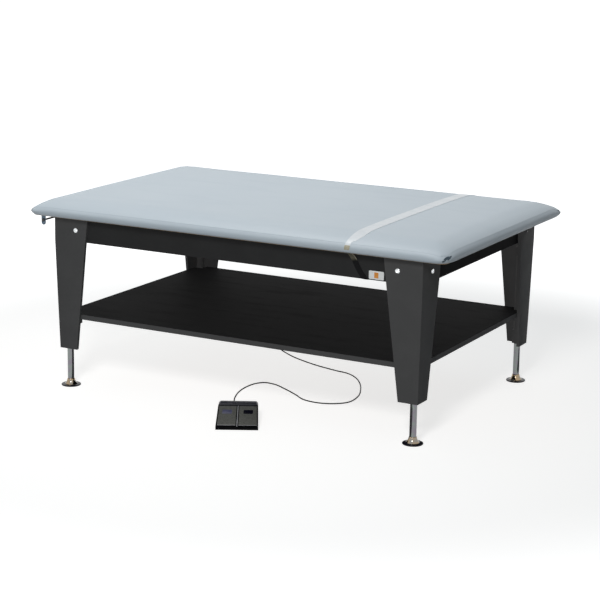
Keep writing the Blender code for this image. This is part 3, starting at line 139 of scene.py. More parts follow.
roomLook = {
    "floorSize": 60.0,
    "floorBounce": (0.35, 0.35, 0.35),  # what the table is lit by from below
    "floorPaint": (1.0, 0.98, 0.96),
    "glowNear": 0.31,
    "glowFar": 1.0,
    "nearReach": 1.7,
    "farReach": 3.6,
    "skyStrength": 0.10,
    "skyColour": (0.66, 0.87, 1, 1),
}


def seenDirectly(tree):
    # 1 for the camera and for what metal mirrors, 0 for light on the object.
    path = addNode(tree, "LightPath").outputs
    seen = path["Is Camera Ray"]
    for also in ("Is Glossy Ray", "Is Transmission Ray"):
        seen = addNode(tree, "Math", (("operation", "MAXIMUM"),), ((0, seen), (1, path[also]))).outputs[0]
    return seen


def makeFloor():
    look = roomLook
    material, tree, _ = newMaterial("studioFloor")
    tree.nodes.clear()
    plain, paint = (addNode(tree, "BsdfDiffuse", Color=(*look[tone], 1)).outputs[0]
                    for tone in ("floorBounce", "floorPaint"))
    where = addNode(tree, "TexCoord")
    reach = addNode(tree, "VectorMath", (("operation", "LENGTH"),), ((0, where.outputs["Object"]),))
    rise = addNode(tree, "MapRange", eased, Value=reach.outputs["Value"], From_Min=look["nearReach"],
                   From_Max=look["farReach"], To_Min=look["glowNear"], To_Max=look["glowFar"])
    glow = addNode(tree, "Emission", Strength=rise.outputs["Result"])
    both = addNode(tree, "AddShader", slots=((0, paint), (1, glow.outputs[0])))
    mix = addNode(tree, "MixShader", slots=((0, seenDirectly(tree)), (1, plain), (2, both.outputs[0])))
    addNode(tree, "OutputMaterial", Surface=mix.outputs[0])
    bm = bmesh.new()
    bmesh.ops.create_grid(bm, x_segments=1, y_segments=1, size=look["floorSize"] / 2)
    meshObject("floor", bm, [material])


flagTone = (0.004, 0.004, 0.004, 1)
flagLook = {
    # name: middle, width, depth, turn; black cards by the feet that only metal mirrors
    "flagFrontRight": ((0.40, -0.64, 0.0004), 0.70, 0.80, 0),
    "flagFrontLeft": ((-0.42, -0.24, 0.0004), 0.62, 0.74, 0),
    "flagRearRight": ((1.16, 0.62, 0.0004), 0.44, 0.40, 10),
    "flagRearLeft": ((-0.44, 0.62, 0.0004), 0.44, 0.40, 10),
}


def makeFlags():
    material = newMaterial("flagBlack", Base_Color=flagTone)[0]
    for name, (place, width, depth, turn) in flagLook.items():
        bm = bmesh.new()
        bmesh.ops.create_grid(bm, x_segments=1, y_segments=1, size=0.5)
        bmesh.ops.scale(bm, vec=(width, depth, 1), verts=bm.verts)
        turned = Matrix.Rotation(math.radians(turn), 4, "Z")
        bmesh.ops.transform(bm, matrix=Matrix.Translation(Vector(place) + tableShift) @ turned, verts=bm.verts)
        flag = meshObject(name, bm, [material])
        flag.visible_camera = flag.visible_diffuse = flag.visible_shadow = flag.visible_transmission = False
    print("flags set")


def makeSky():
    world = bpy.data.worlds.new("studio")
    scene.world = world
    world.use_nodes = True
    tree = world.node_tree
    tree.nodes.clear()
    white = addNode(tree, "Background", Color=(1, 1, 1, 1))
    sky = addNode(tree, "Background", Color=roomLook["skyColour"], Strength=roomLook["skyStrength"])
    mix = addNode(tree, "MixShader",
                  slots=((0, seenDirectly(tree)), (1, sky.outputs[0]), (2, white.outputs[0])))
    addNode(tree, "OutputWorld", Surface=mix.outputs[0])
    print("floor and sky set")


lampLook = {
    # name: place, aim, size, watts, whether it casts shadows
    "keyLamp": ((1.9, -6.2, 4.6), (0.0, 0.0, 0.5), (1.5, 1.5), 135, True),
    "topFill": ((-1.0, 0.1, 4.6), (-0.1, 0.0, 0.7), (2.8, 2.8), 124, False),
    "frontFill": ((2.2, -16.0, 1.4), (0.0, 0.0, 0.4), (4.0, 4.0), 390, False),
}


def makeLamps():
    for name, (place, aim, size, power, casts) in lampLook.items():
        data = bpy.data.lights.new(name, "AREA")
        data.shape = "RECTANGLE"
        data.size, data.size_y = size
        data.energy = power
        data.use_shadow = casts
        lamp = bpy.data.objects.new(name, data)
        scene.collection.objects.link(lamp)
        lamp.location = Vector(place) + tableShift
        lamp.rotation_euler = (Vector(aim) - Vector(place)).to_track_quat("-Z", "Y").to_euler()
    scene.view_settings.view_transform = "Standard"
    print("lamps set")


# ---- finishes

def newGroup(name, output, inputs):
    # A tuple makes a colour socket, and anything else a number's.
    group = bpy.data.node_groups.new(name, "ShaderNodeTree")
    for label, value in inputs.items():
        kind = "NodeSocketColor" if isinstance(value, tuple) else "NodeSocketFloat"
        group.interface.new_socket(label, in_out="INPUT", socket_type=kind).default_value = value
    kind = "NodeSocketColor" if output == "Colour" else "NodeSocketFloat"
    group.interface.new_socket(output, in_out="OUTPUT", socket_type=kind)
    out = group.nodes.new("NodeGroupOutput")
    where = addNode(group, "TexCoord")
    return group, group.nodes.new("NodeGroupInput").outputs, out, where.outputs["Object"]


def makeDriftGroup():
    # Two tones that drift into each other over the surface.
    group, given, out, where = newGroup("toneDrift", "Colour", {
        "Tone A": (1, 1, 1, 1), "Tone B": (0, 0, 0, 1), "Scale": 5.0, "Low": 0.35, "High": 0.65})
    field = addNode(group, "TexNoise", Vector=where, Scale=given["Scale"], Detail=4.0, Roughness=0.55)
    share = addNode(group, "MapRange", eased, Value=field.outputs["Fac"], From_Min=given["Low"],
                    From_Max=given["High"])
    mix = addNode(group, "Mix", colours,
                  ((0, share.outputs["Result"]), (6, given["Tone A"]), (7, given["Tone B"])))
    group.links.new(mix.outputs[2], out.inputs["Colour"])
    return group


def makeGrainGroup():
    # Fine pebbled skin, as on vinyl, moulded plastic and laminate.
    group, given, out, where = newGroup("skinGrain", "Height", {"Scale": 900.0, "Crease": 0.5})
    cells = addNode(group, "TexVoronoi", (("feature", "SMOOTH_F1"),), Vector=where, Scale=given["Scale"],
                    Smoothness=0.7)
    coarser = addNode(group, "Math", times, ((0, given["Scale"]), (1, 0.45)))
    field = addNode(group, "TexNoise", Vector=where, Scale=coarser.outputs[0], Detail=3.0)
    mix = addNode(group, "Mix",
                  slots=((0, given["Crease"]), (2, field.outputs["Fac"]), (3, cells.outputs["Distance"])))
    group.links.new(mix.outputs[0], out.inputs["Height"])
    return group


def makeScuffGroup():
    # Faint long rubs, which lift the roughness where they lie.
    group, given, out, where = newGroup("rubs", "Roughness", {"Scale": 3.0, "Plain": 0.4, "Rubbed": 0.5})
    turn = addNode(group, "Mapping", Vector=where, Scale=(1.0, 5.0, 2.2), Rotation=(0.2, 0.3, 0.5))
    field = addNode(group, "TexNoise", Vector=turn.outputs[0], Scale=given["Scale"], Detail=6.0,
                    Roughness=0.65)
    share = addNode(group, "MapRange", eased, Value=field.outputs["Fac"], From_Min=0.48, From_Max=0.72)
    mix = addNode(group, "Mix",
                  slots=((0, share.outputs["Result"]), (2, given["Plain"]), (3, given["Rubbed"])))
    group.links.new(mix.outputs[0], out.inputs["Roughness"])
    return group


driftGroup, grainGroup, scuffGroup = makeDriftGroup(), makeGrainGroup(), makeScuffGroup()


def makeFinish(name, tones, drift, rough, bump, rubScale=30, grain=900, metallic=0.0, specular=0.5, sheen=0.0,
               crease=0.5):
    # tones and rough are pairs, and grain is how many grains lie in a metre.
    material, tree, shader = newMaterial(name, Metallic=metallic, Specular_IOR_Level=specular, Sheen_Weight=sheen)
    tone = addNode(tree, "Group", (("node_tree", driftGroup),), Scale=drift,
                   Tone_A=(*tones[0], 1), Tone_B=(*tones[1], 1))
    rubs = addNode(tree, "Group", (("node_tree", scuffGroup),), Scale=rubScale,
                   Plain=rough[0], Rubbed=rough[1])
    skin = addNode(tree, "Group", (("node_tree", grainGroup),), Scale=grain, Crease=crease)
    relief = addNode(tree, "Bump", Strength=bump, Distance=0.0003, Height=skin.outputs["Height"])
    setInputs(tree, shader, Base_Color=tone.outputs["Colour"], Roughness=rubs.outputs["Roughness"],
              Normal=relief.outputs["Normal"])
    return material


laminate = dict(drift=9, rubScale=4, grain=1300, bump=0.2)
finishLook = {
    "padVinyl": dict(tones=((0.50, 0.56, 0.605), (0.485, 0.547, 0.595)), drift=2.2, rough=(0.44, 0.52),
                     rubScale=2.5, grain=700, bump=0.25, crease=0.8, specular=0.3, sheen=0.05),
    # painted shade: a darkened copy of the pad vinyl, for the strips at the corner folds
    "foldShadeVinyl": dict(tones=((0.035, 0.055, 0.072), (0.050, 0.075, 0.095)), drift=30, rough=(0.5, 0.6),
                      rubScale=6, grain=700, bump=0.2, specular=0.2),
    "graphiteLaminate": dict(laminate, tones=((0.088, 0.087, 0.087), (0.094, 0.093, 0.093)), rough=(0.62, 0.70),
                             specular=0.04),
    "blackLaminate": dict(laminate, tones=((0.031, 0.031, 0.0312), (0.034, 0.034, 0.0342)), rough=(0.66, 0.74),
                          specular=0.05),
    # painted shade: the black laminate darkened for the end rails, whose end faces get less light than the front
    "endShadeLaminate": dict(laminate, tones=((0.0045, 0.0045, 0.0047), (0.0052, 0.0052, 0.0054)), rough=(0.66, 0.74),
                        specular=0.015),
    # painted shade: the black laminate darkened for the shelf's top, in place of the pad's shade from above
    "shelfShadeLaminate": dict(laminate, tones=((0.0058, 0.0058, 0.006), (0.0064, 0.0064, 0.0066)), rough=(0.68, 0.76),
                          specular=0.02),
    "mouldedBlack": dict(tones=((0.010, 0.010, 0.011), (0.014, 0.014, 0.015)), drift=30, rough=(0.42, 0.55),
                         rubScale=12, grain=1800, bump=0.25, specular=0.4),
    "coverBlack": dict(tones=((0.010, 0.010, 0.017), (0.014, 0.014, 0.021)), drift=40, rough=(0.28, 0.38),
                       rubScale=16, grain=1800, bump=0.15),
    "baseBlack": dict(tones=((0.004, 0.004, 0.005), (0.006, 0.006, 0.007)), drift=40, rough=(0.35, 0.45),
                      rubScale=20, bump=0.05, specular=0.03),
    "glossBlack": dict(tones=((0.003, 0.003, 0.007), (0.005, 0.005, 0.010)), drift=40, rough=(0.10, 0.2),
                       rubScale=20, bump=0.03, specular=0.16),
    "pedalRubber": dict(tones=((0.036, 0.037, 0.032), (0.074, 0.075, 0.066)), drift=210, rough=(0.5, 0.62),
                        rubScale=20, bump=0.5, specular=0.35),
    "cordSheath": dict(tones=((0.005, 0.005, 0.005), (0.009, 0.009, 0.009)), drift=60, rough=(0.45, 0.55),
                       rubScale=20, grain=1500, bump=0.1, specular=0.15),
    "hoseRubber": dict(tones=((0.012, 0.012, 0.012), (0.018, 0.018, 0.018)), drift=40, rough=(0.5, 0.65),
                       rubScale=16, grain=1500, bump=0.2, specular=0.35),
    "chrome": dict(tones=((0.235, 0.265, 0.25), (0.235, 0.215, 0.25)), drift=45, rough=(0.10, 0.18),
                   grain=1200, bump=0.02, metallic=1.0),
    "hubSteel": dict(tones=((0.36, 0.27, 0.17), (0.25, 0.25, 0.24)), drift=55, rough=(0.10, 0.2),
                     grain=1200, bump=0.02, metallic=1.0),
    "zincSteel": dict(tones=((0.095, 0.128, 0.165), (0.07, 0.10, 0.13)), drift=70, rough=(0.30, 0.45),
                      grain=1200, bump=0.08, metallic=0.7),
    "boltSteel": dict(tones=((0.74, 0.76, 0.77), (0.60, 0.62, 0.63)), drift=90, rough=(0.16, 0.28),
                      rubScale=40, grain=1500, bump=0.05, metallic=1.0),
    "paintedSteel": dict(tones=((0.013, 0.013, 0.014), (0.018, 0.018, 0.019)), drift=25, rough=(0.3, 0.45),
                         rubScale=14, grain=500, bump=0.15),
    "castAlloy": dict(tones=((0.42, 0.43, 0.44), (0.34, 0.35, 0.36)), drift=60, rough=(0.45, 0.6),
                      rubScale=20, bump=0.4, metallic=0.9),
    "bandVinyl": dict(tones=((0.67, 0.70, 0.72), (0.62, 0.655, 0.68)), drift=26, rough=(0.35, 0.5),
                      rubScale=14, bump=0.1),
    "bandBinding": dict(tones=((0.46, 0.42, 0.31), (0.36, 0.33, 0.24)), drift=120, rough=(0.55, 0.7),
                        grain=1600, bump=0.4),
    "labelWhite": dict(tones=((0.93, 0.94, 0.93), (0.87, 0.88, 0.87)), drift=50, rough=(0.3, 0.4),
                       grain=700, bump=0.03),
    "labelOrange": dict(tones=((0.80, 0.30, 0.03), (0.74, 0.26, 0.025)), drift=60, rough=(0.3, 0.4),
                        grain=700, bump=0.03),
    # painted highlight: a grey for the top of the switch base's middle ridge and a strip along each pedal's front
    # edge
    "highlightGrey": dict(tones=((0.27, 0.27, 0.28), (0.20, 0.20, 0.21)), drift=60, rough=(0.3, 0.4), bump=0.05),
    "insetBlue": dict(tones=((0.060, 0.062, 0.125), (0.048, 0.050, 0.095)), drift=90, rough=(0.3, 0.42), bump=0.05),
}
finishes = {name: makeFinish(name, **look) for name, look in finishLook.items()}


woodLook = {"pale": (0.46, 0.33, 0.20, 1), "dark": (0.30, 0.20, 0.11, 1), "stretch": (1.2, 34.0, 300)}


def makeWoodFinish():
    look = woodLook
    material, tree, shader = newMaterial("boardWood", Roughness=0.7)
    where = addNode(tree, "TexCoord")
    stretch = addNode(tree, "Mapping", Vector=where.outputs["Object"], Scale=look["stretch"])
    figure = addNode(tree, "TexNoise", Vector=stretch.outputs[0], Scale=1.0, Detail=7.0, Distortion=0.6)
    mix = addNode(tree, "Mix", colours, ((0, figure.outputs["Fac"]), (6, look["pale"]), (7, look["dark"])))
    relief = addNode(tree, "Bump", Strength=0.25, Distance=0.0004, Height=figure.outputs["Fac"])
    setInputs(tree, shader, Base_Color=mix.outputs[2], Normal=relief.outputs["Normal"])
    return material


webbingLook = {
    "dark": (0.004, 0.004, 0.0045, 1),
    "light": (0.012, 0.012, 0.013, 1),
    # worn and tanNearBandTo: a tan the tail takes from the band's end, fading out between these distances along it
    "worn": (0.145, 0.132, 0.095, 1),
    # hem and edgeHighlightFrom: a painted highlight along one edge of the tail's first part, and where across the
    # tail it begins
    "hem": (0.42, 0.39, 0.30, 1),
    "tanNearBandTo": (0.058, 0.072),
    "edgeHighlightFrom": (0.0196, 0.0204),
    "perMetre": 900.0,
    "ribs": 0.12,
    "picks": 0.32,
}


def makeWebbingFinish():
    # Ribs run along the band and picks across it, both read from the band's own UV map in metres.
    look = webbingLook
    material, tree, shader = newMaterial("elasticWebbing", Roughness=0.75, Specular_IOR_Level=0.1)
    where = addNode(tree, "UVMap", (("uv_map", "band"),))
    scaled = addNode(tree, "Mapping", Vector=where.outputs[0], Scale=(look["perMetre"], look["perMetre"], 1))
    ribs, picks = (addNode(tree, "TexWave", (("bands_direction", way),), Vector=scaled.outputs[0],
                           Scale=scale) for way, scale in (("X", look["ribs"]), ("Y", look["picks"])))
    weave = addNode(tree, "Math", times, ((0, ribs.outputs["Fac"]), (1, picks.outputs["Fac"]))).outputs[0]
    split = addNode(tree, "SeparateXYZ", slots=((0, where.outputs[0]),))
    # The tail turns tan over its first few centimetres from the band.
    worn = addNode(tree, "MapRange", Value=split.outputs["Y"], From_Min=look["tanNearBandTo"][0],
                   From_Max=look["tanNearBandTo"][1], To_Min=1.0, To_Max=0.0).outputs["Result"]
    # A painted highlight runs along one edge of the tail's tan first part.
    side = addNode(tree, "MapRange", Value=split.outputs["X"], From_Min=look["edgeHighlightFrom"][0],
                   From_Max=look["edgeHighlightFrom"][1]).outputs["Result"]
    hem = addNode(tree, "Math", times, ((0, worn), (1, side))).outputs[0]
    tone = look["dark"]
    for share, over in ((weave, "light"), (worn, "worn"), (hem, "hem")):
        tone = addNode(tree, "Mix", colours, ((0, share), (6, tone), (7, look[over]))).outputs[2]
    relief = addNode(tree, "Bump", Strength=0.5, Distance=0.0003, Height=weave)
    setInputs(tree, shader, Base_Color=tone, Normal=relief.outputs["Normal"])
    return material


finishes["boardWood"] = makeWoodFinish()
finishes["elasticWebbing"] = makeWebbingFinish()
print("finishes made:", len(finishes))


# ---- tools for the pieces

def addPiece(name, bm, body, materials, angle, replaced=()):
    piece = meshObject(name, bm, [finishes[material] for material in materials])
    piece.data.shade_smooth()
    piece.data.set_sharp_from_angle(angle=math.radians(angle))
    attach(piece, body)
    if replaced:
        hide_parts(*replaced)
    return piece


def pieceName(node):
    first, *rest = node.split("_")
    return first + "".join(word.capitalize() for word in rest)


def dressNode(node, bm, materials, angle=35, name=None):
    return addPiece(name or pieceName(node), bm, bodyOf[node], materials, angle, [node])


def boxOf(node):
    low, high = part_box(node)
    return low, high, (low + high) / 2


def clamp(share):
    return min(1, max(0, share))


def surfaceOf(piece):
    mesh = piece.data
    return BVHTree.FromPolygons([vert.co for vert in mesh.vertices], [tuple(face.vertices) for face in mesh.polygons])


def roundEdges(bm, edges, width, segments, clamped=False):
    bmesh.ops.bevel(bm, geom=edges, offset=width, segments=segments, profile=0.5, affect="EDGES", material=-1,
                    clamp_overlap=clamped)


def cutThrough(bm, place, normal):
    bmesh.ops.bisect_plane(bm, geom=bm.verts[:] + bm.edges[:] + bm.faces[:], plane_co=place, plane_no=normal)


def cutAcross(bm, axis, place):
    normal = Vector(Matrix.Identity(3)[axis])
    cutThrough(bm, normal * place, normal)


def outward(axis, place):
    # A frame whose Z points out along the axis from the place.
    return Matrix.Translation(place) @ Vector(axis).to_track_quat("Z", "Y").to_matrix().to_4x4()


def boxMesh(low, high):
    bm = bmesh.new()
    bmesh.ops.create_cube(bm, size=1)
    bmesh.ops.scale(bm, vec=high - low, verts=bm.verts)
    bmesh.ops.translate(bm, vec=(low + high) / 2, verts=bm.verts)
    return bm


def softMesh(node, width, segments=2, angle=30):
    # The model's own solid with its hard edges eased, as sanded or moulded ones are.
    bm = bmesh.new()
    bm.from_mesh(cadNodes[node].data)
    bmesh.ops.remove_doubles(bm, verts=bm.verts, dist=0.00002)
    bmesh.ops.dissolve_limit(bm, angle_limit=math.radians(1), verts=bm.verts, edges=bm.edges)
    if width:
        hard = [e for e in bm.edges if e.is_manifold and e.calc_face_angle(0) > math.radians(angle)]
        roundEdges(bm, hard, width, segments, clamped=True)
    return bm


def softEdged(node, materials, width, segments=2, angle=30, flat=20):
    # Edges sharper than angle are eased, and those sharper than flat stay crisp in the shading.
    return dressNode(node, softMesh(node, width, segments, angle), materials, flat)


def spunMesh(profile, steps, place):
    # A closed turned shape from rows of radius and height, which start and end on the axis.
    bm = bmesh.new()
    verts = [bm.verts.new((radius, 0, height)) for radius, height in profile]
    edges = [bm.edges.new(pair) for pair in zip(verts, verts[1:])]
    bmesh.ops.spin(bm, geom=verts + edges, axis=(0, 0, 1), cent=(0, 0, 0), angle=math.tau, steps=steps,
                   use_merge=True)
    bmesh.ops.remove_doubles(bm, verts=bm.verts, dist=0.00001)
    bmesh.ops.recalc_face_normals(bm, faces=bm.faces)
    bmesh.ops.transform(bm, matrix=place, verts=bm.verts)
    return bm


def ringedMesh(start, rings, steps, place):
    # A closed shape grown from one round face, ring by ring: radius, height and how hexagonal.
    bm = bmesh.new()
    face = bmesh.ops.create_circle(bm, cap_ends=True, segments=steps, radius=start)["verts"][0].link_faces[0]
    sixth, twelfth = math.tau / 6, math.tau / 12
    for radius, height, hexed in rings:
        face = bmesh.ops.extrude_discrete_faces(bm, faces=[face])["faces"][0]
        for vert in face.verts:
            turn = math.atan2(vert.co.y, vert.co.x)
            facet = (turn + twelfth) % sixth - twelfth
            reach = radius * (1 - hexed + hexed * math.cos(twelfth) / math.cos(facet))
            vert.co = Vector((reach * math.cos(turn), reach * math.sin(turn), height))
    bmesh.ops.create_circle(bm, cap_ends=True, segments=steps, radius=start)
    bmesh.ops.remove_doubles(bm, verts=bm.verts, dist=0.000005)
    bmesh.ops.recalc_face_normals(bm, faces=bm.faces)
    bmesh.ops.transform(bm, matrix=place, verts=bm.verts)
    return bm


# ---- the foot switch's cord

cordLook = {
    "radius": 0.00275,
    "points": 260,
    "floor": 0.003,
    "blendLow": 0.045,
    "blendHigh": 0.232,
    "socket": (-0.006, 0.2156, 0.033),  # in the foot switch's own frame
}
cordRoute = (
    # from the gland under the table to the foot switch, counted from the table's middle; a point without a height
    # lies on the floor
    (-0.331, 0.446, 0.2411), (-0.331, 0.446, 0.200), (-0.331, 0.446, 0.110), (-0.330, 0.445, 0.045),
    (-0.324, 0.441, 0.014), (-0.300, 0.425), (-0.205, 0.358), (-0.061, 0.290), (0.063, 0.253), (0.134, 0.237),
    (0.196, 0.191), (0.252, 0.119), (0.296, 0.039), (0.334, -0.059), (0.340, -0.156), (0.310, -0.200),
    (0.269, -0.225), (0.219, -0.234), (0.158, -0.221), (0.094, -0.174), (0.014, -0.121), (-0.059, -0.082),
    (-0.110, -0.081), (-0.135, -0.117), (-0.142, -0.185), (-0.131, -0.261), (-0.109, -0.327), (-0.082, -0.384),
    (-0.040, -0.445, 0.009), (-0.006, -0.490, 0.024), (0.013, -0.520, 0.0315),
)


def smoothRoute(route, count, floor, between=12):
    # A centripetal Catmull-Rom curve through the points, read at equal steps.
    points = [Vector(point) for point in route]
    points = [2 * points[0] - points[1]] + points + [2 * points[-1] - points[-2]]
    fine = []
    for a, b, c, d in zip(points, points[1:], points[2:], points[3:]):
        t = [0]
        for near, far in ((a, b), (b, c), (c, d)):
            t.append(t[-1] + math.sqrt((far - near).length))
        for step in range(between):
            s = t[1] + (t[2] - t[1]) * step / between
            ab, bc = a.lerp(b, s / t[1]), b.lerp(c, (s - t[1]) / (t[2] - t[1]))
            cd = c.lerp(d, (s - t[2]) / (t[3] - t[2]))
            abc, bcd = ab.lerp(bc, s / t[2]), bc.lerp(cd, (s - t[1]) / (t[3] - t[1]))
            fine.append(abc.lerp(bcd, (s - t[1]) / (t[2] - t[1])))
    fine.append(points[-2])
    lengths = [0]
    for near, far in zip(fine, fine[1:]):
        lengths.append(lengths[-1] + (far - near).length)
    read, index = [], 0
    for number in range(count):
        want = lengths[-1] * number / (count - 1)
        while index < len(fine) - 2 and lengths[index + 1] < want:
            index += 1
        point = fine[index].lerp(fine[index + 1], (want - lengths[index]) / (lengths[index + 1] - lengths[index]))
        read.append(Vector((point.x, point.y, max(point.z, floor))))
    return read, lengths[-1]


def makeCord():
    look = cordLook
    route = [Vector((*point, look["floor"])[:3]) + tableShift for point in cordRoute]
    route.append(switchPlace @ Vector(look["socket"]))
    points, length = smoothRoute(route, look["points"], look["floor"])
    curve = bpy.data.curves.new("cordLine", "CURVE")
    curve.dimensions = "3D"
    curve.bevel_depth, curve.bevel_resolution, curve.use_fill_caps = look["radius"], 3, True
    spline = curve.splines.new("POLY")
    spline.points.add(len(points) - 1)
    for knot, point in zip(spline.points, points):
        knot.co = (*point, 1)
    guide = bpy.data.objects.new("cordGuide", curve)
    scene.collection.objects.link(guide)
    mesh = bpy.data.meshes.new_from_object(guide.evaluated_get(bpy.context.evaluated_depsgraph_get()))
    bpy.data.objects.remove(guide)
    mesh.name = "switchCord"
    mesh.shade_smooth()
    mesh.materials.clear()
    mesh.materials.append(finishes["cordSheath"])
    cord = bpy.data.objects.new("switchCord", mesh)
    scene.collection.objects.link(cord)
    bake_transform(cord)
    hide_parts("pedal_cord")
    print("cord laid:", round(length, 3), "m")


# ---- the pad

padLook = {
    "corner": 0.045,
    "lowerRoll": 0.010,
    "lip": 0.0045,
    "rise": 0.048,
    "sideRoll": 0.145,
    "endRoll": 0.115,
    "crown": 0.0085,
    "drawIn": 0.003,
    "skirtWall": 0.0145,
    "roof": 0.7556,
    "grid": 0.018,
    "edgeCuts": (0.0012, 0.004, 0.009, 0.016, 0.026, 0.038, 0.052),
    "unevenness": 0.0009,
    "waves": (3.3, 9.1),  # broad ones, and finer ones of half their height
    "calmEdge": 0.1,
    "swell": 0.0014,
    "swellFrom": 0.757,
    "swellOver": 0.030,
    "heldTo": 0.012,  # above the lip
    "pressure": 4.0,
    "simulated": 20,
    "tuck": (0.012, 0.0048),  # under each corner, along the length and the end
    "tuckReach": 0.08,
    "tuckTop": 0.757,
}


def rollShare(gap, width):
    return math.sqrt(1 - (1 - clamp(gap / width)) ** 2)


def crownShare(gap, width):
    return 1 - (1 - clamp(gap / width)) ** 2


def shapePad(low, high):
    look = padLook
    middle, half = (low + high) / 2, (high - low) / 2
    foot = low.z + look["lowerRoll"] + look["lip"]
    bm = boxMesh(low, Vector((high.x, high.y, foot)))
    upright = [e for e in bm.edges if abs((e.verts[0].co - e.verts[1].co).z) > look["lip"]]
    roundEdges(bm, upright, look["corner"], segments=12)
    under = min(bm.faces, key=lambda face: face.calc_center_median().z)
    bmesh.ops.inset_region(bm, faces=[under], thickness=look["skirtWall"], use_even_offset=True)
    roof = bmesh.ops.extrude_discrete_faces(bm, faces=[under])["faces"][0]
    bmesh.ops.translate(bm, vec=(0, 0, look["roof"] - low.z), verts=roof.verts)
    bmesh.ops.recalc_face_normals(bm, faces=bm.faces)
    rim = [e for e in bm.edges if all(abs(vert.co.z - low.z) < 0.0001 for vert in e.verts)
           and any(abs(face.normal.z) < 0.3 and face.normal.dot(face.calc_center_median() - middle) > 0
                   for face in e.link_faces)]
    roundEdges(bm, rim, look["lowerRoll"], segments=4)
    for axis in (0, 1):
        count = round(2 * half[axis] / look["grid"])
        for number in range(1, count):
            cutAcross(bm, axis, low[axis] + 2 * half[axis] * number / count)
        for gap in look["edgeCuts"]:
            cutAcross(bm, axis, low[axis] + gap)
            cutAcross(bm, axis, high[axis] - gap)

    def halfAt(along, reach, other):
        over = min(look["corner"], max(0, abs(along) - (other - look["corner"])))
        return reach - look["corner"] + math.sqrt(max(0, look["corner"] ** 2 - over ** 2))

    broad, fine = look["waves"]
    for vert in bm.verts:
        place = vert.co - middle
        gapX = halfAt(place.y, half.x, half.y) - abs(place.x)
        gapY = halfAt(place.x, half.y, half.x) - abs(place.y)
        if vert.co.z > foot - 0.0001:
            roll = rollShare(gapX, look["endRoll"]) * rollShare(gapY, look["sideRoll"])
            crown = crownShare(gapX, half.y) * crownShare(gapY, half.y)
            rough = noise.noise(vert.co * broad) + 0.5 * noise.noise(vert.co * fine)
            calm = clamp(min(gapX, gapY) / look["calmEdge"])
            vert.co.z += look["rise"] * roll + look["crown"] * crown + look["unevenness"] * rough * calm
        # The sides draw in between the corners.
        if min(gapX, gapY) < look["skirtWall"] * 0.9:
            if gapX < gapY:
                vert.co.x -= math.copysign(look["drawIn"] * (1 - (place.y / half.y) ** 2) ** 2, place.x)
            else:
                vert.co.y -= math.copysign(look["drawIn"] * (1 - (place.x / half.x) ** 2) ** 2, place.y)
        # The cover is gathered under at each corner.
        away = Vector((half.x - abs(place.x), half.y - abs(place.y)))
        near = max(0, 1 - away.length / look["tuckReach"])
        share = near * clamp((look["tuckTop"] - vert.co.z) / (look["tuckTop"] - low.z))
        for axis, tuck in enumerate(look["tuck"]):
            vert.co[axis] -= math.copysign(tuck * share, place[axis])
    return bm


def swellPad(pad, top):
    # Air pressure pushes the cover out a little, more where nothing holds it.
    look = padLook
    mesh = pad.data
    before = [vert.co.copy() for vert in mesh.vertices]
    held = pad.vertex_groups.new(name="held")
    held.add([vert.index for vert in mesh.vertices if vert.co.z < top], 1.0, "REPLACE")
    cloth = pad.modifiers.new("cover", "CLOTH")
    settings = cloth.settings
    settings.use_pressure, settings.uniform_pressure_force = True, look["pressure"]
    settings.vertex_group_mass = "held"
    settings.effector_weights.gravity = 0
    settings.quality = 4
    for number in range(1, look["simulated"] + 1):
        scene.frame_set(number)
    shaped = pad.evaluated_get(bpy.context.evaluated_depsgraph_get()).to_mesh()
    after = [vert.co.copy() for vert in shaped.vertices]
    pad.modifiers.remove(cloth)
    pad.vertex_groups.remove(held)
    scene.frame_set(1)
    for vert, old, new in zip(mesh.vertices, before, after):
        move = new - old
        share = clamp((old.z - look["swellFrom"]) / look["swellOver"])
        vert.co = old + move * share * share * min(1, look["swell"] / max(move.length, 0.000001))


def makePad():
    low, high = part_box("cushion")
    pad = meshObject("padTop", shapePad(low, high), [finishes["padVinyl"]])
    swellPad(pad, low.z + padLook["lowerRoll"] + padLook["lip"] + padLook["heldTo"])
    pad.data.shade_smooth()
    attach(pad, "frame")
    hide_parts("cushion")
    print("pad made:", len(pad.data.polygons), "faces")
    return pad


# ---- the board work

boardLook = {"edge": 0.0012}


def makeBoards():
    edge = boardLook["edge"]
    for corner in corners:
        softEdged("leg_" + corner, ["graphiteLaminate"], edge)
    for side in ("front", "rear", "left", "right"):
        # The end rails take the darkened laminate as painted shade.
        finish = "blackLaminate" if side in ("front", "rear") else "endShadeLaminate"
        softEdged("rail_" + side, [finish], edge)
    # The shelf's top takes the darkened laminate as painted shade, and its edges take the graphite.
    shelf = softEdged("shelf", ["shelfShadeLaminate", "graphiteLaminate"], edge)
    for face in shelf.data.polygons:
        face.material_index = 1 if abs(face.normal.z) < 0.5 else 0
    print("boards made")


# ---- the lift columns and feet

footLook = {
    "steps": 56,
    "rodEdge": 0.0008,
    "tubeEdge": 0.0006,
    "glideEdge": 0.0014,
    # the hub's flare: radius, share of its height
    "hub": ((0.0262, 0.0), (0.0268, 0.02), (0.0268, 0.06), (0.0258, 0.10), (0.0236, 0.20), (0.0205, 0.38),
            (0.0180, 0.58), (0.0164, 0.80), (0.0156, 0.94), (0.0152, 0.98), (0.0146, 1.0)),
}


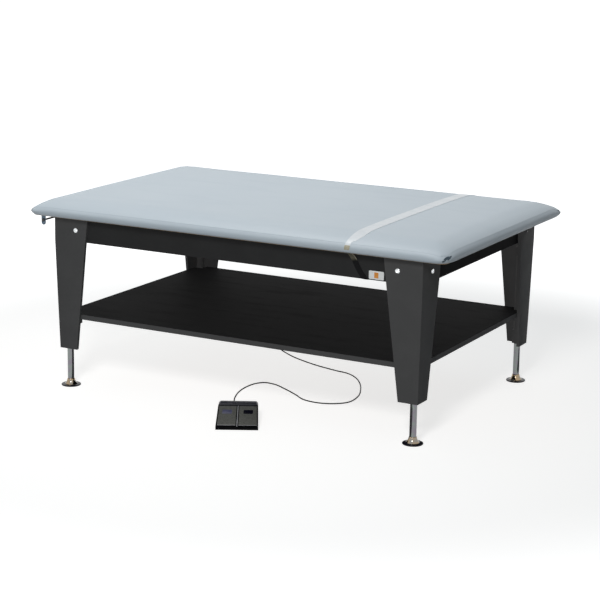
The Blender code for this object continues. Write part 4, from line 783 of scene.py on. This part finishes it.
def makeFeet():
    look = footLook
    edge = look["rodEdge"]
    for corner in corners:
        low, high, middle = boxOf("lift_rod_" + corner)
        radius = (high.x - low.x) / 2
        place = Matrix.Translation((middle.x, middle.y, 0))
        profile = ((0, low.z), (radius - edge, low.z), (radius, low.z + edge), (radius, high.z - edge),
                   (radius - edge, high.z), (0, high.z))
        dressNode("lift_rod_" + corner, spunMesh(profile, look["steps"], place), ["chrome"], name="liftRod." + corner)
        softEdged("lift_cylinder_" + corner, ["graphiteLaminate"], look["tubeEdge"], segments=1, angle=40, flat=35)
        low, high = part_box("foot_hub_" + corner)
        flare = [(radius, low.z + (high.z - low.z) * share) for radius, share in look["hub"]]
        hub = spunMesh([(0, low.z)] + flare + [(0, high.z)], look["steps"], place)
        dressNode("foot_hub_" + corner, hub, ["hubSteel"], name="footHub." + corner)
        softEdged("foot_glide_" + corner, ["glossBlack"], look["glideEdge"], segments=4, angle=40, flat=35)
    print("feet made")


boltLook = {
    "steps": 24,
    "wide": 1.22,
    "rise": 0.0045,
    "dome": ((1.0, 0.30), (0.93, 0.62), (0.76, 0.88)),  # share of the reach, share of the rise
    "socket": ((0.00575, 0, 0), (0.0046, -0.0002, 1), (0.004462, -0.0018, 1)),  # radius, down, how hexagonal
}


def makeBolts():
    look = boltLook
    for corner, (across, along) in corners.items():
        for face, index, axis in (("long", 1, (0, along, 0)), ("end", 0, (across, 0, 0))):
            node = f"leg_bolt_{corner}_{face}"
            low, high, spot = boxOf(node)
            reach = (high.z - low.z) / 2 * look["wide"]
            deep = high[index] - low[index]
            rise = min(deep, look["rise"])
            spot[index] = low[index] if axis[index] > 0 else high[index]
            rings = [(reach * wide, deep - rise + rise * up, 0) for wide, up in look["dome"]]
            rings += [(radius, deep + down, hexed) for radius, down, hexed in look["socket"]]
            finish = "glossBlack" if face == "end" and along > 0 else "boltSteel"  # dark caps at the rear ends
            dressNode(node, ringedMesh(reach, rings, look["steps"], outward(axis, spot)), [finish], angle=28)
    print("bolts made")


# ---- the band over the pad and its tails

bandLook = {
    "neck": (-0.01125, 0.01125),  # how far it reaches to each side where it goes down the pad's sides
    "top": (-0.0125, 0.0395),  # and on top of the pad
    "widening": ((0.0, 0.0), (0.039, 0.0), (0.044, 0.40), (0.090, 1.0), (9.0, 1.0)),  # from each end: how far, share
    "thick": 0.0012,
    "lift": 0.0004,
    "across": 8,
    "places": 240,
    "above": 0.004,  # the last place on top, from the pad's lower roll
    "drop": (7, 0.0035),  # and how many down the side from there, and how far apart
    "lowest": 0.0005,
    "step": 0.0036,
    "waver": (0.0016, 9, 1.0),  # how far to each side, how quick, and where it begins
    "bindingEnd": 0.020,
}
tailLook = {
    "wide": 0.0225,
    "thick": 0.0016,
    "points": 52,
    "across": 6,
    "clear": 0.0002,
    "turn": (0.7405, 0.05, 0.75),  # it turns with its slant from this height, over this drop, this much
    # Out of the pad's lower roll, across the rail's face as it slants towards the leg, and under the rail:
    # what each x, y and z is counted from, and how far.
    "course": (
        ("band", 0, "outer", -0.004, "band", -0.001), ("band", 0.0003, "outer", -0.004, "band", -0.005),
        ("band", 0.001, "outer", -0.009, "floor", 0.7415), ("band", 0.003, "face", 0.022, "floor", 0.731),
        ("band", 0.011, "face", 0.007, "floor", 0.709), ("band", 0.0225, "face", 0.003, "floor", 0.683),
        ("band", 0.037, "face", 0.0019, "floor", 0.66), ("foot", -0.004, "face", 0.0014, "under", 0.004),
        ("foot", -0.001, "face", -0.0005, "under", -0.0009), ("foot", 0, "face", -0.008, "under", -0.0012),
        ("foot", 0, "back", -0.0005, "under", -0.0012), ("foot", 0, "back", -0.0016, "under", 0.004),
        ("foot", 0, "back", -0.0016, "under", 0.029),
    ),
}


def ribbon(points, sides, spans, across):
    # A strip along the points, with sides as its direction across and spans as its reach that way,
    # grown by extruding one row of edges.
    def rowAt(number):
        near, far = spans[number]
        return [points[number] + sides[number] * (near + (far - near) * step / across) for step in range(across + 1)]

    bm = bmesh.new()
    band = bm.loops.layers.uv.new("band")
    row = [bm.verts.new(place) for place in rowAt(0)]
    edges = [bm.edges.new(pair) for pair in zip(row, row[1:])]
    gone, far = 0.0, points[0]
    rows = [(row, 0.0)]
    for number, point in enumerate(points[1:], 1):
        made = bmesh.ops.extrude_edge_only(bm, edges=edges)["geom"]
        fresh = [item for item in made if isinstance(item, bmesh.types.BMVert)]
        edges = [item for item in made if isinstance(item, bmesh.types.BMEdge)
                 and all(vert in fresh for vert in item.verts)]
        fresh.sort(key=lambda vert: (vert.co - far).dot(sides[number - 1]))
        gone += (point - far).length
        for vert, place in zip(fresh, rowAt(number)):
            vert.co = place
        rows.append((fresh, gone))
        far = point
    place = {vert: ((span[1] - span[0]) * step / across, along)
             for (verts, along), span in zip(rows, spans) for step, vert in enumerate(verts)}
    for face in bm.faces:
        for loop in face.loops:
            loop[band].uv = place[loop.vert]
    return bm, gone


def makeBand(padSurface):
    look = bandLook
    middle = boxOf("paper_strap")[2]
    low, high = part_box("cushion")
    floor, half = low.z + padLook["lowerRoll"], (high.y - low.y) / 2
    # Rays straight down find the pad's top along the band, closer together towards the pad's sides.
    line = []
    for number in range(look["places"] + 1):
        y = middle.y - half * 0.99999 * math.cos(math.pi * number / look["places"])
        hit = padSurface.ray_cast(Vector((middle.x, y, high.z + 0.2)), Vector((0, 0, -1)))
        if hit[0] is not None and hit[0].z > floor + look["above"]:
            line.append(hit[:2])
    # Level rays carry it on down each side.
    ends = []
    for side, (point, _) in ((-1, line[0]), (1, line[-1])):
        drop = []
        count, apart = look["drop"]
        for z in (point.z - apart * step for step in range(1, count + 1)):
            hit = padSurface.ray_cast(Vector((middle.x, middle.y + side * (half + 0.2), z)), Vector((0, -side, 0)))
            if z >= floor + look["lowest"] and hit[0] is not None:
                drop.append(hit[:2])
        ends.append(drop)
    points = []
    for point, normal in ends[0][::-1] + line + ends[1]:
        lifted = point + normal * look["lift"]
        if not points or (lifted - points[-1]).length > look["step"]:
            points.append(lifted)
    reach, quick, begin = look["waver"]
    points = [point + Vector((reach * math.sin(quick * point.y + begin), 0, 0)) for point in points]
    gone = [0.0]
    for near, far in zip(points, points[1:]):
        gone.append(gone[-1] + (far - near).length)
    length = gone[-1]
    spans = []
    for along in gone:
        near = min(along, length - along)
        share = next(low + (high - low) * (near - start) / (stop - start)
                     for (start, low), (stop, high) in zip(look["widening"], look["widening"][1:]) if near <= stop)
        spans.append([neck + (top - neck) * share for neck, top in zip(look["neck"], look["top"])])
    bm, _ = ribbon(points, [Vector((1, 0, 0))] * len(points), spans, look["across"])
    # The edges of the band lie on the pad as its middle does.
    for vert in bm.verts:
        place, normal, _, _ = padSurface.find_nearest(vert.co)
        vert.co = place + normal * look["lift"]
    bmesh.ops.recalc_face_normals(bm, faces=bm.faces)
    if sum(face.normal.z for face in bm.faces) < 0:
        bmesh.ops.reverse_faces(bm, faces=bm.faces)
    uv = bm.loops.layers.uv["band"]
    for face in bm.faces:
        along = sum(loop[uv].uv.y for loop in face.loops) / len(face.loops)
        face.material_index = 1 if min(along, length - along) < look["bindingEnd"] else 0
    bmesh.ops.solidify(bm, geom=bm.faces[:], thickness=-look["thick"])
    band = dressNode("paper_strap", bm, ["bandVinyl", "bandBinding"], angle=50, name="paperBand")
    print("band made:", round(length, 3), "m")
    return points[0], points[-1]


def makeTails(ends):
    look = tailLook
    for end, way, side in zip(ends, ("front", "rear"), (-1, 1)):
        node = "strap_tail_" + way
        low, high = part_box(node)
        railLow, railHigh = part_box("rail_" + way)
        face, back = (railLow.y, railHigh.y) if side < 0 else (railHigh.y, railLow.y)
        under = railLow.z
        xs = {"band": end.x, "foot": high.x - look["wide"] / 2}
        ys = {"outer": low.y if side < 0 else high.y, "face": face, "back": back}
        zs = {"band": end.z, "floor": 0, "under": under}
        course = [Vector((xs[fromX] + x, ys[fromY] + side * y, zs[fromZ] + z))
                  for fromX, x, fromY, y, fromZ, z in look["course"]]
        points, _ = smoothRoute(course, look["points"], 0.0)
        turnFrom, turnOver, turnMost = look["turn"]
        sides = []
        for number, point in enumerate(points):
            ahead = points[min(number + 1, len(points) - 1)] - points[max(number - 1, 0)]
            normal = Vector((0, side, 0)) if point.z > under + 0.002 else Vector((0, 0, -1))
            across = ahead.cross(normal).normalized()
            across = across if across.x > 0 else -across
            turn = turnMost * clamp((turnFrom - point.z) / turnOver) if point.z > under + 0.003 else 0.0
            sides.append(Vector((1, 0, 0)).lerp(across, turn).normalized())
        bm, length = ribbon(points, sides, [(-look["wide"] / 2, look["wide"] / 2)] * len(points), look["across"])
        bmesh.ops.recalc_face_normals(bm, faces=bm.faces)
        bmesh.ops.solidify(bm, geom=bm.faces[:], thickness=look["thick"])
        # Nothing dips into the rail that it goes round.
        for vert in bm.verts:
            inRail = (vert.co.y - face) * side < look["clear"] and (vert.co.y - back) * side > 0.0
            if inRail and max(low.z, under) < vert.co.z < railHigh.z:
                vert.co.y = face + side * look["clear"]
        tail = dressNode(node, bm, ["elasticWebbing"], angle=50)
    print("tails made")


# ---- painted shade of the folds at the pad's corners: thin dark strips lying on the pad

pleatLook = {
    # from and to on the pad's side: how far in from the corner along its length and its end, and the height
    "folds": (((0.022, 0.006, 0.7480), (0.008, 0.040, 0.7736)), ((0.010, 0.0235, 0.7560), (0.008, 0.058, 0.7665))),
    "wide": 0.0082,
    "section": ((-0.5, 0.0001), (-0.2, 0.0006), (0.15, 0.0008), (0.5, 0.0001)),  # share of the width, height
    "steps": 14,
}


def makePleatShades(padSurface):
    look = pleatLook
    low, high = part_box("cushion")
    for corner, (across, along) in corners.items():
        edgeX, edgeY = high.x if across > 0 else low.x, high.y if along > 0 else low.y
        for number, fold in enumerate(look["folds"], 1):
            start, stop = (Vector((edgeX - across * x, edgeY - along * y, z)) for x, y, z in fold)
            bm = bmesh.new()
            loops = []
            for step in range(look["steps"] + 1):
                share = step / look["steps"]
                place, normal, _, _ = padSurface.find_nearest(start.lerp(stop, share))
                side = (stop - start).cross(normal).normalized()
                wide = look["wide"] * (0.15 + math.sin(math.pi * clamp(share * 0.75 + 0.2)))
                row = [bm.verts.new(place + side * wide * reach + normal * rise) for reach, rise in look["section"]]
                loops.append([bm.edges.new(pair) for pair in zip(row, row[1:])])
            for near, far in zip(loops, loops[1:]):
                bmesh.ops.bridge_loops(bm, edges=near + far)
            bmesh.ops.recalc_face_normals(bm, faces=bm.faces)
            if sum(face.normal.dot(padSurface.find_nearest(face.calc_center_median())[1]) for face in bm.faces) < 0:
                bmesh.ops.reverse_faces(bm, faces=bm.faces)
            # Each strip sits a little raised off the pad and carries painted shade for its fold.
            addPiece(f"padFoldShade{number}.{corner}", bm, "frame", ["foldShadeVinyl"], angle=80)
    print("folds made")


# ---- the label plate

labelLook = {"round": 0.004, "edge": 0.0002, "block": {0: (0.36, 0.64), 2: (0.16, 0.84)}}  # shares of x and z


def makeLabel():
    look = labelLook
    low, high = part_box("label_plate")
    bm = boxMesh(low, high)
    deep = [e for e in bm.edges if abs((e.verts[0].co - e.verts[1].co).y) > 0.0001]
    roundEdges(bm, deep, look["round"], segments=5)
    front = min(bm.faces, key=lambda face: face.calc_center_median().y)
    bmesh.ops.inset_region(bm, faces=[front], thickness=look["edge"] * 4, depth=look["edge"])
    lines = {axis: [low[axis] + (high[axis] - low[axis]) * share for share in shares]
             for axis, shares in look["block"].items()}
    for axis, places in lines.items():
        for place in places:
            cutAcross(bm, axis, place)
    for face in bm.faces:
        at = face.calc_center_median()
        inBlock = all(near < at[axis] < far for axis, (near, far) in lines.items())
        face.material_index = 1 if inBlock and face.normal.y < -0.9 else 0
    dressNode("label_plate", bm, ["labelWhite", "labelOrange"], angle=30)
    print("label made")


# ---- the roll holder

def makeRollHolder():
    for side in ("front", "rear"):
        softEdged("roll_bracket_" + side, ["zincSteel"], width=0.0006, flat=30)
    softEdged("roll_bar", ["paintedSteel"], width=0.0006, angle=40, flat=35)
    print("roll holder made")


# ---- the foot switch

switchLook = {
    "inset": (0.038, 0.030),
    "insetAt": 0.106,
    "insetSink": 0.0002,
    "insetLift": 0.0004,
    "insetEdge": 0.00025,
    "ridgeGapShade": 0.0058,  # how far to each side of the middle each tread is coloured black, as painted shade of the gaps beside the ridge
    # ridge and highlightLine: how far the painted highlight reaches to each side on the middle ridge, and back from
    # each pedal's front edge
    "ridge": 0.0021,
    "highlightLine": 0.0040,
    "edge": 0.0016,
}


def makeSwitch():
    look = switchLook
    back = switchPlace.inverted()
    base = softEdged("pedal_base", ["baseBlack", "highlightGrey"], width=0.0012, segments=3, flat=30)
    # The top of the middle ridge gets the grey as a painted highlight.
    for face in base.data.polygons:
        at = back @ face.center
        face.material_index = 1 if abs(at.x) < look["ridge"] and face.normal.z > 0.9 and at.z > 0.012 else 0
    softEdged("pedal_rear_cover", ["coverBlack"], width=0.0022, segments=4, flat=35)
    softEdged("pedal_pin", ["chrome"], width=0.0004, angle=40, flat=35)
    softEdged("pedal_cord_relief", ["hoseRubber"], width=0.0005, angle=40, flat=35)
    for side, inset in (("left", "insetBlue"), ("right", "glossBlack")):
        node = "pedal_" + side
        bm = softMesh(node, look["edge"], segments=3)
        # A strip along each pedal's front edge gets the grey as a painted highlight.
        highlightLine = min((back @ vert.co).y for vert in bm.verts) + look["highlightLine"]
        for spot, way in (((-look["ridgeGapShade"], 0, 0), (1, 0, 0)), ((look["ridgeGapShade"], 0, 0), (1, 0, 0)),
                          ((0, highlightLine, 0), (0, 1, 0))):
            cutThrough(bm, switchPlace @ Vector(spot), switchPlace.to_3x3() @ Vector(way))
        for face in bm.faces:
            at, faces = back @ face.calc_center_median(), back.to_3x3() @ face.normal
            # Painted shade: the tread beside the middle ridge is coloured black for the gaps there; faces turned
            # forward, sideways or down are black too.
            if abs(at.x) < look["ridgeGapShade"] or faces.y < -0.5 or faces.z < 0.3:
                face.material_index = 1
            elif at.y < highlightLine:
                face.material_index = 2
        pedal = dressNode(node, bm, ["pedalRubber", "baseBlack", "highlightGrey"], angle=30)
        softEdged("microswitch_" + side, ["mouldedBlack"], width=0.0005, angle=40, flat=30)
        # An inlay lies on the tread, in the tread's own slope.
        tread = max((face for face in pedal.data.polygons if face.normal.z > 0.9), key=lambda face: face.area)
        normal = (back.to_3x3() @ tread.normal).normalized()
        at = back @ tread.center
        xs = [(back @ pedal.data.vertices[v].co).x for v in tread.vertices]
        centre = Vector(((min(xs) + max(xs)) / 2, look["insetAt"], 0))
        centre.z = at.z - (normal.x * (centre.x - at.x) + normal.y * (centre.y - at.y)) / normal.z
        turn = Matrix((Vector((1, 0, 0)), normal.cross(Vector((1, 0, 0))).normalized(), normal)).transposed().to_4x4()
        wide, deep = look["inset"]
        bm = boxMesh(Vector((-wide / 2, -deep / 2, -look["insetSink"])),
                     Vector((wide / 2, deep / 2, look["insetLift"])))
        roundEdges(bm, bm.edges[:], look["insetEdge"], segments=2)
        bmesh.ops.transform(bm, matrix=switchPlace @ Matrix.Translation(centre) @ turn, verts=bm.verts)
        bmesh.ops.recalc_face_normals(bm, faces=bm.faces)
        addPiece("pedalInlay" + side.capitalize(), bm, bodyOf[node], [inset], angle=30)
    print("foot switch made")


# ---- the power unit under the shelf

powerLook = {
    # piece: finish, edge
    "control_box": ("mouldedBlack", 0.003),
    "control_box_gland": ("mouldedBlack", 0.0006),
    "pump_motor": ("paintedSteel", 0.0015),
    "pump_block": ("castAlloy", 0.0012),
    "oil_tank": ("mouldedBlack", 0.004),
    "deck_board": ("boardWood", 0.0008),
}


def makePowerUnit():
    for node, (finish, edge) in powerLook.items():
        softEdged(node, [finish], edge, angle=35, flat=35)
    for corner in corners:
        softEdged("oil_hose_" + corner, ["hoseRubber"], width=0, flat=60)
    print("power unit made")


makeCamera()
makeFloor()
makeSky()
makeFlags()
makeLamps()
makeCord()
padSurface = surfaceOf(makePad())
makeBoards()
makeFeet()
makeBolts()
makeTails(makeBand(padSurface))
makePleatShades(padSurface)
makeLabel()
makeRollHolder()
makeSwitch()
makePowerUnit()
